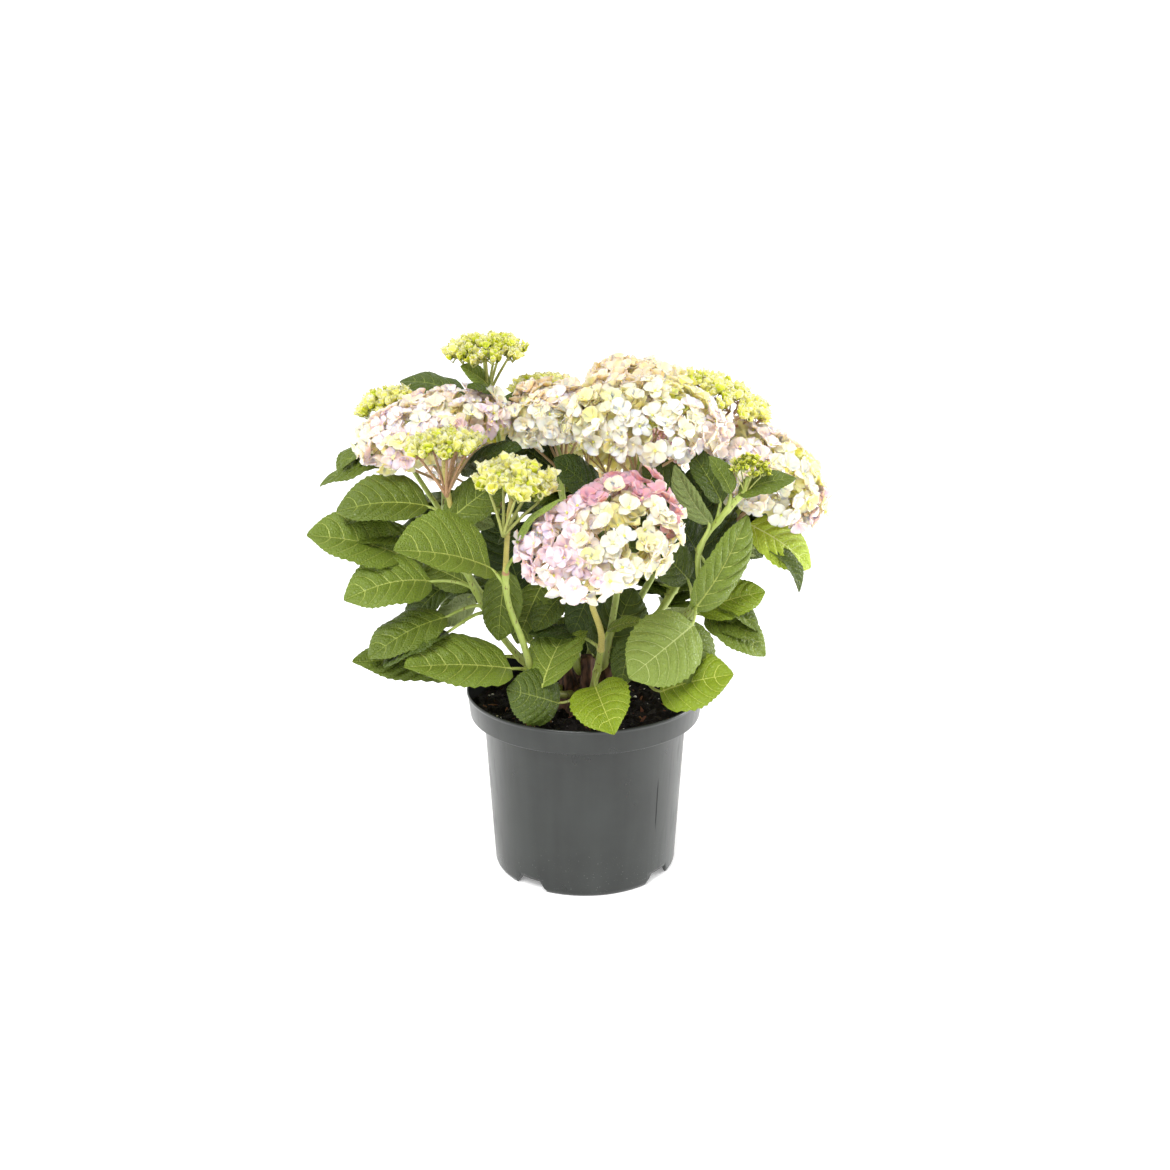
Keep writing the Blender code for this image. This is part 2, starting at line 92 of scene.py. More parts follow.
def unit(vectors):
    """Each vector divided by its own length."""
    vectors = np.asarray(vectors, float)
    return vectors / np.maximum(np.linalg.norm(vectors, axis=-1, keepdims=True), 1e-12)


def tone(code):
    """The linear colour of a screen colour written as six hexadecimal digits."""
    screen = np.array([int(code[i : i + 2], 16) for i in (0, 2, 4)]) / 255
    linear = np.where(screen <= 0.04045, screen / 12.92, ((screen + 0.055) / 1.055) ** 2.4)
    return (*linear.tolist(), 1.0)


def lattice(rows, columns, wrap=False):
    """Two triangles for each cell of a grid of points, by rows. wrap joins its last column to its first."""
    row, column = np.meshgrid(np.arange(rows - 1), np.arange(columns - (not wrap)), indexing="ij")
    following = (column + 1) % columns
    a, b = row * columns + column, row * columns + following
    c, d = b + columns, a + columns
    return np.stack([np.stack([a, b, c], -1), np.stack([a, c, d], -1)], 2).reshape(-1, 3)


def repeated(triangles, count, points_each):
    """The same triangles for each of count shapes, whose points follow one another."""
    offsets = np.arange(count)[:, None, None] * points_each
    return (triangles[None] + offsets).reshape(-1, 3)


def mesh_piece(name, points, triangles, finishes, which=None, smooth=True):
    """One object of these points and triangles. which gives the finish of each triangle by its number."""
    points, triangles = np.reshape(points, (-1, 3)), np.asarray(triangles, np.int32)
    mesh = bpy.data.meshes.new(name)
    mesh.vertices.add(len(points))
    mesh.vertices.foreach_set("co", points.astype(np.float32).ravel())
    mesh.loops.add(triangles.size)
    mesh.loops.foreach_set("vertex_index", triangles.ravel())
    mesh.polygons.add(len(triangles))
    mesh.polygons.foreach_set("loop_start", np.arange(0, triangles.size, 3, dtype=np.int32))
    for finish in finishes:
        mesh.materials.append(finish)
    if which is not None:
        mesh.polygons.foreach_set("material_index", np.asarray(which, np.int32))
    mesh.polygons.foreach_set("use_smooth", np.full(len(triangles), smooth))
    mesh.update(calc_edges=True)
    piece = bpy.data.objects.new(name, mesh)
    bpy.context.scene.collection.objects.link(piece)
    return piece


def finish_group(name, colour=True):
    """A node group that makes one finish: the group, the place on the object that its textures read, and its
    output node, whose sockets are named for the shader's inputs that they feed."""
    group = bpy.data.node_groups.new(name, "ShaderNodeTree")
    sockets = {"Base Color": "NodeSocketColor", "Roughness": "NodeSocketFloat", "Normal": "NodeSocketVector"}
    if not colour:
        del sockets["Base Color"]
    for label, kind in sockets.items():
        group.interface.new_socket(label, in_out="OUTPUT", socket_type=kind)
    place = group.nodes.new("ShaderNodeTexCoord").outputs["Object"]
    return group, place, group.nodes.new("NodeGroupOutput")


def noise(tree, vector, scale, detail=3.0, stretch=None):
    """The value of a noise texture read at these coordinates, which stretch divides along each axis."""
    if stretch is not None:
        mapping = tree.nodes.new("ShaderNodeMapping")
        mapping.inputs["Scale"].default_value = stretch
        tree.links.new(vector, mapping.inputs["Vector"])
        vector = mapping.outputs["Vector"]
    texture = tree.nodes.new("ShaderNodeTexNoise")
    texture.inputs["Scale"].default_value = scale
    texture.inputs["Detail"].default_value = detail
    tree.links.new(vector, texture.inputs["Vector"])
    return texture.outputs["Fac"]


def ranged(tree, value, low, high, to_low=0.0, to_high=1.0):
    """The value read between low and high, and given between to_low and to_high."""
    span = tree.nodes.new("ShaderNodeMapRange")
    for label, number in zip(("From Min", "From Max", "To Min", "To Max"), (low, high, to_low, to_high)):
        span.inputs[label].default_value = number
    tree.links.new(value, span.inputs["Value"])
    return span.outputs["Result"]


def reckoned(tree, operation, first, second):
    """A Math node of two sockets, or of a socket and a number."""
    sums = tree.nodes.new("ShaderNodeMath")
    sums.operation = operation
    for slot, value in zip(sums.inputs, (first, second)):
        if isinstance(value, (int, float)):
            slot.default_value = value
        else:
            tree.links.new(value, slot)
    return sums.outputs["Value"]


def mixed(tree, share, first, second):
    """A colour between two, each of them a socket or a plain colour."""
    mix = tree.nodes.new("ShaderNodeMix")
    mix.data_type = "RGBA"
    tree.links.new(share, mix.inputs["Factor"])
    for label, value in (("A", first), ("B", second)):
        slot = next(s for s in mix.inputs if s.name == label and s.type == "RGBA")
        if isinstance(value, tuple):
            slot.default_value = value
        else:
            tree.links.new(value, slot)
    return next(s for s in mix.outputs if s.type == "RGBA")


def relief(tree, height, strength, distance):
    """The surface's direction, changed by a height in metres times distance."""
    bump = tree.nodes.new("ShaderNodeBump")
    bump.inputs["Strength"].default_value = strength
    bump.inputs["Distance"].default_value = distance
    tree.links.new(height, bump.inputs["Height"])
    return bump.outputs["Normal"]


def new_material(name, colour, roughness, group=None, **settings):
    """A material of one Principled shader. A group feeds the inputs that its outputs are named for."""
    made = bpy.data.materials.new(name)
    made.use_nodes = True
    surface = made.node_tree.nodes["Principled BSDF"]
    surface.inputs["Base Color"].default_value = colour
    surface.inputs["Roughness"].default_value = roughness
    for label, value in settings.items():
        surface.inputs[label.replace("_", " ")].default_value = value
    if group:
        node = made.node_tree.nodes.new("ShaderNodeGroup")
        node.node_tree = group
        for output in node.outputs:
            made.node_tree.links.new(output, surface.inputs[output.name])
    return made


def moulded_plastic():
    """Grey plastic: faint streaks down the wall, a soft mottle, dust at the foot, handling marks and the dark
    groove of the weld."""
    group, place, out = finish_group("moulded_plastic")
    streaks = noise(group, place, 45.0, 4.0, (1.0, 1.0, 0.06))
    mottle = noise(group, place, 18.0, 5.0)
    specks = noise(group, place, 700.0, 2.0)
    marks = noise(group, place, 220.0, 3.0, (1.0, 1.0, 0.12))
    height = group.nodes.new("ShaderNodeSeparateXYZ")
    group.links.new(place, height.inputs["Vector"])
    low = ranged(group, height.outputs["Z"], 0.0, 0.060, 1.0, 0.0)
    grey = mixed(group, ranged(group, streaks, 0.35, 0.65), tone("1A1D1B"), tone("242725"))
    grey = mixed(group, ranged(group, mottle, 0.40, 0.75, 0.0, 0.5), grey, tone("313533"))
    low = reckoned(group, "MULTIPLY", low, 0.35)
    dust = reckoned(group, "MULTIPLY", ranged(group, specks, 0.69, 0.74), low)
    grey = mixed(group, dust, grey, tone("A9ACA8"))
    square = math.radians(WELD_DEG + 90)
    across_weld = group.nodes.new("ShaderNodeVectorMath")
    across_weld.operation = "DOT_PRODUCT"
    across_weld.inputs[1].default_value = (math.cos(square), math.sin(square), 0.0)
    group.links.new(place, across_weld.inputs[0])
    to_weld = reckoned(group, "ABSOLUTE", across_weld.outputs["Value"], 0.0)
    weld = ranged(group, to_weld, *WELD_HALF_WIDTH, 1.0, 0.0)
    for fade in WELD_FADES:
        weld = reckoned(group, "MULTIPLY", weld, ranged(group, height.outputs["Z"], *fade))
    weld = reckoned(group, "MULTIPLY", weld, ranged(group, height.outputs["X"], 0.0, 0.001))
    grey = mixed(group, weld, grey, tone("040505"))
    group.links.new(grey, out.inputs["Base Color"])
    rough, worn = ranged(group, mottle, 0.3, 0.7, 0.26, 0.34), ranged(group, marks, 0.5, 0.8, 0.0, 0.12)
    rough = reckoned(group, "ADD", rough, worn)
    rough = reckoned(group, "ADD", rough, reckoned(group, "MULTIPLY", weld, 0.5))
    group.links.new(rough, out.inputs["Roughness"])
    fine = reckoned(group, "ADD", noise(group, place, 900.0, 2.0), reckoned(group, "MULTIPLY", streaks, 2.0))
    fine = reckoned(group, "ADD", fine, reckoned(group, "MULTIPLY", weld, -5.0))
    group.links.new(relief(group, fine, 0.25, 0.00012), out.inputs["Normal"])
    return group


def rounded(profile, radius):
    """A closed outline whose corners are rounded: each corner becomes a short curve between its two sides."""
    corners = np.asarray(profile, float)
    before, after = np.roll(corners, 1, axis=0) - corners, np.roll(corners, -1, axis=0) - corners
    reach_before = np.minimum(radius, np.linalg.norm(before, axis=1) / 2.2)[:, None]
    reach_after = np.minimum(radius, np.linalg.norm(after, axis=1) / 2.2)[:, None]
    start, end = corners + unit(before) * reach_before, corners + unit(after) * reach_after
    t = np.linspace(0, 1, CORNER_POINTS)[None, :, None]
    curve = (1 - t) ** 2 * start[:, None] + 2 * t * (1 - t) * corners[:, None] + t**2 * end[:, None]
    return curve.reshape(-1, 2)


def wall_radius(height):
    """The body's outer radius: a straight taper from under the band to the foot."""
    share = (height - FOOT_CORNER) / (BAND_FOOT_Z - FOOT_CORNER)
    return BODY_FOOT_RADIUS + (BODY_TOP_RADIUS - BODY_FOOT_RADIUS) * share


def band_radius(height):
    """The band's outer radius: a straight taper from just under the lip to the band's foot."""
    share = (height - BAND_FOOT_Z) / (POT_HEIGHT - BAND_FOOT_Z)
    return BAND_FOOT_RADIUS + (LIP_RADIUS - LIP_ROLL / 2 - BAND_FOOT_RADIUS) * share


lip_z, floor_z = POT_HEIGHT - LIP_ROLL, CHANNEL_TOP_Z + POT_WALL
pot_outline = rounded(
    [
        (LIP_RADIUS - LIP_ROLL / 2, POT_HEIGHT),
        (LIP_RADIUS, lip_z),
        (band_radius(lip_z - LIP_ROLL), lip_z - LIP_ROLL),
        (BAND_FOOT_RADIUS, BAND_FOOT_Z),
        (wall_radius(BAND_FOOT_Z), BAND_FOOT_Z - 2 * POT_WALL),
        (wall_radius(ABOVE_NOTCH_Z), ABOVE_NOTCH_Z),
        (BODY_FOOT_RADIUS, FOOT_CORNER),
        (FOOT_RADIUS, 0.0),
        (CHANNEL_OUTER + POT_WALL, 0.0),
        (CHANNEL_OUTER, CHANNEL_TOP_Z),
        (CHANNEL_INNER, CHANNEL_TOP_Z),
        (SEAT_RADIUS, 0.0),
        (AXIS_GAP, 0.0),
        (AXIS_GAP, POT_WALL),
        (SEAT_RADIUS - POT_WALL, POT_WALL),
        (CHANNEL_INNER - POT_WALL, floor_z),
        (wall_radius(floor_z) - POT_WALL, floor_z),
        (wall_radius(BAND_FOOT_Z) - POT_WALL, BAND_FOOT_Z - POT_WALL),
        (BAND_FOOT_RADIUS - POT_WALL, BAND_FOOT_Z + POT_WALL),
        (band_radius(POT_HEIGHT) - POT_WALL, POT_HEIGHT),
    ],
    POT_CORNER,
)
notch_turns = np.radians(NOTCHES_DEG)
notch_edges = np.array([NOTCH_FOOT_WIDTH, NOTCH_TOP_WIDTH]) / 2 / FOOT_RADIUS
turns = np.concatenate(
    [
        np.linspace(0, 2 * math.pi, POT_STEPS, endpoint=False),
        (notch_turns[:, None, None] + notch_edges[:, None] * np.array([-1, 1])).ravel(),
    ]
)
turns = np.unique(np.round(turns % (2 * math.pi), 6))
off_notch = np.abs((turns[:, None] - notch_turns + math.pi) % (2 * math.pi) - math.pi).min(axis=1)
foot_width, top_width = NOTCH_FOOT_WIDTH / 2 / FOOT_RADIUS, NOTCH_TOP_WIDTH / 2 / FOOT_RADIUS
notch_rise = NOTCH_HEIGHT * np.clip((foot_width - off_notch) / (foot_width - top_width), 0, 1)
radius, height = pot_outline[:, :1], pot_outline[:, 1:]
outside_channel = radius > CHANNEL_INNER + 0.5 * (CHANNEL_OUTER - CHANNEL_INNER)
inner_skin = np.arange(len(radius))[:, None] >= INNER_SKIN_CORNER * CORNER_POINTS
lifted = np.where(outside_channel, np.maximum(height, notch_rise + POT_WALL * inner_skin), height)
pot_points = np.stack([radius * np.cos(turns), radius * np.sin(turns), lifted + 0 * turns], -1)
pot_points = np.concatenate([pot_points, pot_points[:1]])
pot_cells = lattice(len(pot_points), len(turns), wrap=True)
ring_rows = len(pot_points) - 1
pot_cells = np.where(pot_cells >= ring_rows * len(turns), pot_cells - ring_rows * len(turns), pot_cells)
pot = mesh_piece(
    "nursery_pot",
    pot_points[:-1],
    pot_cells[:, ::-1],
    [
        new_material("pot_grey_plastic", tone("242725"), 0.32, moulded_plastic()),
        # Painted shade: the inner wall above the compost is the same grey plastic, painted near black for the
        # shade inside the pot.
        new_material("pot_inside_painted_shade", tone("090A09"), 0.85, Specular_IOR_Level=0.2),
    ],
    np.repeat(np.arange(len(pot_outline)) >= ABOVE_COMPOST_CORNER * CORNER_POINTS, 2 * len(turns)),
)
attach(pot, "root")
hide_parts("pot")

# ---- compost ----
# The compost fills the pot to a thumb's width below the lip. It is dark peat and composted bark, moist, with
# reddish bark chips on its surface and a few white grains of perlite.

SOIL_TOP_Z, SOIL_FOOT_Z = 0.1585, 0.1500
SOIL_EDGE_Z = BAND_FOOT_Z + POT_WALL + 0.0004
SOIL_EDGE_SHARE, SOIL_EASE = 0.84, 0.985
SOIL_RINGS, SOIL_TURNS = 70, 150
SOIL_ROUGHNESS = 0.0022
BARK_CHIPS, PERLITE_GRAINS, STREWN_AREA = 520, 34, 0.96
CHIP_HALF_SIZE, GRAIN_HALF_SIZE = (0.0024, 0.0011, 0.0062), (0.0006, 0.0014)


def rumple(points, size, seed, waves=14):
    """An uneven value near -1 to 1 at each point: a sum of plane waves about size long, turned by chance."""
    chance = np.random.default_rng(seed)
    ways = unit(chance.normal(size=(waves, 3))) * chance.uniform(0.6, 1.7, (waves, 1)) * 2 * math.pi / size
    return np.sin(points @ ways.T + chance.uniform(0, 2 * math.pi, waves)).sum(-1) / math.sqrt(waves)


def soil_height(x, y):
    """The surface of the compost: three sizes of lumps, a low rise round the stems, and no dip at the wall
    that would reach the shelf where the pot's band begins."""
    flat = np.stack([x, y, 0 * x], -1)
    lumps = rumple(flat, 0.030, 1) + 0.6 * rumple(flat, 0.011, 2) + 0.35 * rumple(flat, 0.0045, 3)
    rise = 0.004 * np.exp(-((x**2 + y**2) / 0.045**2))
    lowest = np.interp(np.hypot(x, y), [0.075, 0.090], [SOIL_FOOT_Z + 0.0006, SOIL_EDGE_Z + 0.0006])
    return np.maximum(SOIL_TOP_Z - 0.001 + rise + SOIL_ROUGHNESS * lumps, lowest)


soil_radius = band_radius(SOIL_TOP_Z) - POT_WALL - 0.0002
surface_rings = np.linspace(0.0006, 1, SOIL_RINGS) ** 0.85
ring = np.concatenate([surface_rings, [1.0, SOIL_EDGE_SHARE, 0.0006]])[:, None] * soil_radius
around = np.linspace(0, 2 * math.pi, SOIL_TURNS, endpoint=False)
soil_x, soil_y = ring * np.cos(around), ring * np.sin(around)
soil_z = soil_height(soil_x, soil_y)
soil_z[-3], soil_z[-2:] = SOIL_EDGE_Z, SOIL_FOOT_Z
soil_points = np.stack([soil_x, soil_y, soil_z], -1)
soil_points[-3:, :, :2] *= SOIL_EASE


def damp_compost():
    """Peat and bark crumbs: near black, with browner fibres and a crumbly relief."""
    group, place, out = finish_group("damp_compost")
    crumbs, fibres = noise(group, place, 420.0, 6.0), noise(group, place, 130.0, 4.0, (1.0, 0.25, 1.0))
    brown = mixed(group, ranged(group, crumbs, 0.40, 0.66), tone("070403"), tone("150D09"))
    brown = mixed(group, ranged(group, fibres, 0.62, 0.74, 0.0, 0.6), brown, tone("331C13"))
    group.links.new(brown, out.inputs["Base Color"])
    group.links.new(ranged(group, crumbs, 0.3, 0.7, 0.95, 0.70), out.inputs["Roughness"])
    group.links.new(relief(group, crumbs, 0.9, 0.0012), out.inputs["Normal"])
    return group


compost = mesh_piece(
    "compost_bed",
    soil_points,
    lattice(len(ring), SOIL_TURNS, wrap=True),
    [new_material("damp_compost", tone("0F0907"), 0.9, damp_compost(), Specular_IOR_Level=0.2)],
)
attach(compost, "root")
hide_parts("compost")


def crumbs_of(middles, half_sizes, chance, jitter):
    """Closed chips, each a six-sided drum of three rings and two tips, pushed about and turned by chance."""
    around = np.arange(6) * math.pi / 3
    rings = [(0.72, -0.7), (1.0, 0.0), (0.72, 0.7)]
    shape = np.array([(w * math.cos(a), w * math.sin(a), h) for w, h in rings for a in around])
    shape = np.concatenate([shape, [(0, 0, -1.0), (0, 0, 1.0)]])
    count = len(middles)
    points = (shape + chance.normal(0, jitter, (count, len(shape), 3))) * half_sizes[:, None]
    across = unit(chance.normal(size=(count, 3)) * [1, 1, 0.25])
    along = unit(np.cross(across, chance.normal(size=(count, 3)) * [0.25, 0.25, 1]))
    up = np.cross(across, along)
    turned = points @ np.stack([along, up, across], axis=1)
    low = [(18, (i + 1) % 6, i) for i in range(6)]
    high = [(19, 12 + i, 12 + (i + 1) % 6) for i in range(6)]
    cells = np.concatenate([lattice(3, 6, wrap=True), low, high])
    return turned + middles[:, None], repeated(cells, count, len(shape)), len(cells)


def strewn(count, chance, inner=0.0):
    """Places on the compost, spread evenly by area from inner to the pot's wall."""
    far = np.sqrt(chance.uniform(inner**2, STREWN_AREA, count)) * soil_radius
    turn = chance.uniform(0, 2 * math.pi, count)
    x, y = far * np.cos(turn), far * np.sin(turn)
    return np.stack([x, y, soil_height(x, y)], -1)


def woody_grain(name, dark, light, scale):
    """Bark: long fibres from dark to light, with a relief that follows them."""
    group, place, out = finish_group(name)
    fibres = noise(group, place, scale, 6.0, (1.0, 1.0, 0.22))
    group.links.new(mixed(group, ranged(group, fibres, 0.36, 0.66), dark, light), out.inputs["Base Color"])
    group.links.new(ranged(group, fibres, 0.3, 0.7, 0.9, 0.72), out.inputs["Roughness"])
    group.links.new(relief(group, fibres, 0.8, 0.0009), out.inputs["Normal"])
    return group


chance = np.random.default_rng(21)
chip_sizes = chance.uniform(0.3, 1.0, (BARK_CHIPS, 1)) ** 1.6 * chance.uniform(0.6, 1.4, (BARK_CHIPS, 3))
chip_sizes *= np.array(CHIP_HALF_SIZE)
chips, chip_cells, cells_each = crumbs_of(strewn(BARK_CHIPS, chance), chip_sizes, chance, 0.10)
chip_tints = np.repeat(chance.choice(3, BARK_CHIPS, p=[0.72, 0.19, 0.09]), cells_each)
bark = mesh_piece(
    "bark_chips",
    chips,
    chip_cells,
    [
        new_material("bark_dark", tone("1C110B"), 0.85),
        new_material("bark_red", tone("5B3323"), 0.85),
        new_material("bark_tan", tone("7A5237"), 0.85),
    ],
    chip_tints,
    smooth=False,
)
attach(bark, "root")

grain_sizes = chance.uniform(*GRAIN_HALF_SIZE, (PERLITE_GRAINS, 1))
grain_sizes = grain_sizes * chance.uniform(0.7, 1.2, (PERLITE_GRAINS, 3))
grains, grain_cells, _ = crumbs_of(
    strewn(PERLITE_GRAINS, chance, 0.35) + [0, 0, 0.0005], grain_sizes, chance, 0.08
)
perlite = mesh_piece("perlite", grains, grain_cells, [new_material("perlite_white", tone("E9E6DF"), 0.9)])
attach(perlite, "root")

# ---- old wood ----
# Sixteen green stems rise from one short stock of old brown wood, cut back in past years to a few stubs. The
# courses of the stems and the places of their flower heads are set here, and their skins follow the leaves.

BASE_RADIUS, BASE_HEIGHT, BASE_SUNK = 0.0280, 0.0450, 0.0040
STEM_START, STEM_SEAT, STEM_NECK = 0.0060, 0.8, 0.0120
STEM_STATIONS = 72
STUB_STATIONS, STUB_SIDES, STOCK_ROWS, STOCK_SIDES = 26, 28, 30, 72
LOW_LEAN, HIGH_LEAN, TOP_LEAN = 78, 50, 22

# Each flower head: its middle, the way that it faces, its radius and its half height.
HEADS = {
    "head_buds_top": ((-0.093, 0.050, 0.492), (-0.05, -0.05, 1.0), 0.044, 0.014),
    "head_bloom_left": ((-0.138, -0.002, 0.427), (-0.25, -0.20, 1.0), 0.071, 0.036),
    "head_buds_left": ((-0.122, -0.088, 0.436), (-0.05, -0.02, 1.0), 0.038, 0.020),
    "head_buds_far_left": ((-0.190, 0.076, 0.436), (-0.35, 0.05, 1.0), 0.033, 0.017),
    "head_buds_front": ((-0.057, -0.120, 0.412), (0.24, -0.08, 1.0), 0.041, 0.024),
    "head_buds_middle": ((-0.041, 0.080, 0.451), (-0.05, 0.10, 1.0), 0.037, 0.015),
    "head_bloom_middle": ((0.053, -0.026, 0.440), (0.10, -0.15, 1.0), 0.071, 0.037),
    "head_bloom_middle_left": ((-0.031, 0.004, 0.436), (-0.20, -0.20, 1.0), 0.043, 0.033),
    "head_bloom_middle_back": ((0.052, 0.090, 0.451), (0.05, 0.20, 1.0), 0.049, 0.024),
    "head_buds_right": ((0.134, 0.040, 0.450), (0.50, -0.05, 1.0), 0.051, 0.018),
    "head_bloom_right": ((0.163, 0.002, 0.382), (0.55, -0.35, 1.0), 0.063, 0.043),
    "head_bloom_front": ((0.012, -0.138, 0.367), (-0.22, -0.65, 1.0), 0.072, 0.043),
    "head_buds_small": ((0.142, -0.080, 0.411), (0.10, -0.10, 1.0), 0.019, 0.012),
    "head_bloom_back_left": ((-0.100, 0.135, 0.378), (-0.35, 0.55, 1.0), 0.062, 0.038),
    "head_bloom_back": ((0.040, 0.165, 0.370), (0.05, 0.65, 1.0), 0.068, 0.040),
    "head_buds_back_right": ((0.150, 0.115, 0.380), (0.45, 0.40, 1.0), 0.044, 0.022),
}

# Each stem: its turn and lean in degrees where it leaves the old wood, the points that it bends through,
# and the head that it carries.
STEMS = {
    "stem_front_left": (
        (-125, LOW_LEAN),
        [(-0.042, -0.052, 0.196), (-0.056, -0.076, 0.250), (-0.069, -0.092, 0.302)],
        "head_buds_front",
    ),
    "stem_front": ((-80, LOW_LEAN), [(0.015, -0.060, 0.245), (0.006, -0.098, 0.296)], "head_bloom_front"),
    "stem_right_front": (
        (-38, LOW_LEAN),
        [(0.096, -0.064, 0.272), (0.102, -0.072, 0.337)],
        "head_buds_small",
    ),
    "stem_left_front": (
        (-168, LOW_LEAN),
        [(-0.075, -0.040, 0.240), (-0.108, -0.066, 0.320)],
        "head_buds_left",
    ),
    "stem_left": ((170, HIGH_LEAN), [(-0.082, 0.008, 0.245), (-0.126, 0.008, 0.325)], "head_bloom_left"),
    "stem_far_left": (
        (128, HIGH_LEAN),
        [(-0.090, 0.046, 0.270), (-0.160, 0.068, 0.365)],
        "head_buds_far_left",
    ),
    "stem_tall": ((165, TOP_LEAN), [(-0.060, 0.036, 0.315)], "head_buds_top"),
    "stem_middle_left": ((-110, HIGH_LEAN), [(-0.016, -0.012, 0.310)], "head_bloom_middle_left"),
    "stem_middle_back_left": ((50, TOP_LEAN), [(-0.014, 0.052, 0.310)], "head_buds_middle"),
    "stem_middle": ((-30, HIGH_LEAN), [(0.034, -0.006, 0.300)], "head_bloom_middle"),
    "stem_middle_back": ((78, HIGH_LEAN), [(0.036, 0.062, 0.310)], "head_bloom_middle_back"),
    "stem_right": ((3, LOW_LEAN), [(0.094, 0.004, 0.245)], "head_bloom_right"),
    "stem_right_back": ((28, HIGH_LEAN), [(0.082, 0.040, 0.310)], "head_buds_right"),
    "stem_back_left": ((125, LOW_LEAN), [(-0.062, 0.090, 0.265)], "head_bloom_back_left"),
    "stem_back": ((84, LOW_LEAN), [(0.026, 0.100, 0.265)], "head_bloom_back"),
    "stem_far_right": ((42, LOW_LEAN), [(0.096, 0.072, 0.265)], "head_buds_back_right"),
}


def smooth_path(points, steps=24):
    """A smooth curve through all but the first and last of these points: a Catmull-Rom cubic on each span."""
    points = np.asarray(points, float)
    before, start, end, after = points[:-3], points[1:-2], points[2:-1], points[3:]
    t = np.arange(steps)[:, None, None] / steps
    twist = 3 * start - before - 3 * end + after
    path = start + 0.5 * t * ((end - before) + t * ((2 * before - 5 * start + 4 * end - after) + t * twist))
    return np.concatenate([np.swapaxes(path, 0, 1).reshape(-1, 3), points[-2:-1]])


def evenly(path, stations):
    """The same path with this many points, an equal length apart."""
    run = np.concatenate([[0], np.cumsum(np.linalg.norm(np.diff(path, axis=0), axis=1))])
    wanted = np.linspace(0, run[-1], stations)
    return np.stack([np.interp(wanted, run, path[:, axis]) for axis in range(3)], -1)


def upright_lean(turn_deg, lean_deg):
    """The unit vector that leans from upright by one angle, turned about Z by the other."""
    turn, lean = math.radians(turn_deg), math.radians(lean_deg)
    return np.array([math.sin(lean) * math.cos(turn), math.sin(lean) * math.sin(turn), math.cos(lean)])


def stem_route(leaves_base, bends, head):
    """A stem's path from the old wood's surface, square to it, to the underside of its flower head."""
    out = upright_lean(*leaves_base)
    squared = np.array([BASE_RADIUS, BASE_RADIUS, BASE_HEIGHT]) ** 2
    foot = np.array([0, 0, SOIL_TOP_Z + BASE_SUNK]) + squared * out / math.sqrt(np.dot(squared, out * out))
    middle, facing, _, half_height = HEADS[head]
    down = -unit(facing)
    seat = np.array(middle) + down * half_height * STEM_SEAT
    start, neck = foot + out * STEM_START, seat + down * STEM_NECK
    path = [foot, start, *(np.array(bend) for bend in bends), neck, seat]
    curve = smooth_path(path)
    return evenly(np.concatenate([[foot - out * 0.004, foot], curve, [seat]]), STEM_STATIONS)


def tubes(paths, radii, sides):
    """Closed round rods along paths of equal length: a ring square to the path at each station, turned on as
    little as it can be from the ring before, and a point that closes each end."""
    paths = np.asarray(paths, float)
    rods, stations, _ = paths.shape
    radii = np.broadcast_to(radii, (rods, stations))
    along = unit(np.gradient(paths, axis=1))
    helper = np.where(np.abs(along[:, 0, 2:]) < 0.9, [[0.0, 0.0, 1.0]], [[1.0, 0.0, 0.0]])
    side, kept = np.cross(helper, along[:, 0]), []
    for station in range(stations):
        forward = along[:, station]
        side = unit(side - (side * forward).sum(-1, keepdims=True) * forward)
        kept.append(side)
    side = np.stack(kept, 1)
    turn = np.arange(sides) * 2 * math.pi / sides
    beyond = np.cross(along, side)
    rings = side[:, :, None] * np.cos(turn)[:, None] + beyond[:, :, None] * np.sin(turn)[:, None]
    rings = paths[:, :, None] + radii[:, :, None, None] * rings
    points = np.concatenate([rings.reshape(rods, -1, 3), paths[:, [0, -1]]], axis=1)
    j, last = np.arange(sides), (stations - 1) * sides
    foot = np.stack([np.full(sides, stations * sides), (j + 1) % sides, j], -1)
    tip = np.stack([np.full(sides, stations * sides + 1), last + j, last + (j + 1) % sides], -1)
    cells = np.concatenate([lattice(stations, sides, wrap=True), foot, tip])
    return points, repeated(cells, rods, points.shape[1]), len(cells)


routes = {name: stem_route(*stem) for name, stem in STEMS.items()}


STUBS = (
    # foot x, foot y, height, lean turn, lean, radius
    (0.004, -0.014, 0.058, 250, 6, 0.0064),
    (-0.010, -0.006, 0.050, 160, 10, 0.0058),
    (0.015, -0.004, 0.046, 20, 9, 0.0056),
    (0.002, 0.012, 0.050, 80, 10, 0.0062),
    (-0.014, 0.008, 0.038, 150, 16, 0.0048),
    (0.013, 0.013, 0.036, 40, 16, 0.0048),
)


def old_stubs():
    """The stock's cut stubs: short stout rods with a furrowed skin, wider at the foot and worn at the top."""
    paths = []
    for x, y, tall, turn, lean, _ in STUBS:
        foot = np.array([x, y, SOIL_TOP_Z - 0.002])
        paths.append(foot + np.linspace(0, tall, STUB_STATIONS)[:, None] * upright_lean(turn, lean))
    share = np.linspace(0, 1, STUB_STATIONS)
    flare = 1.35 - 0.45 * share + 0.25 * np.exp(-share * 9)
    radii = np.array([stub[-1] for stub in STUBS])[:, None] * flare
    points, cells, _ = tubes(paths, radii, STUB_SIDES)
    middle = np.array([path[STUB_STATIONS // 2 - 1] for path in paths])
    middle = np.repeat(middle, points.shape[1], axis=0).reshape(points.shape)
    outward = unit((points - middle) * [1, 1, 0.02])
    furrows = rumple(points * [1, 1, 0.16], 0.0045, 5) + 0.5 * rumple(points * [1, 1, 0.3], 0.0022, 6)
    return points + outward * 0.0007 * furrows[..., None], cells


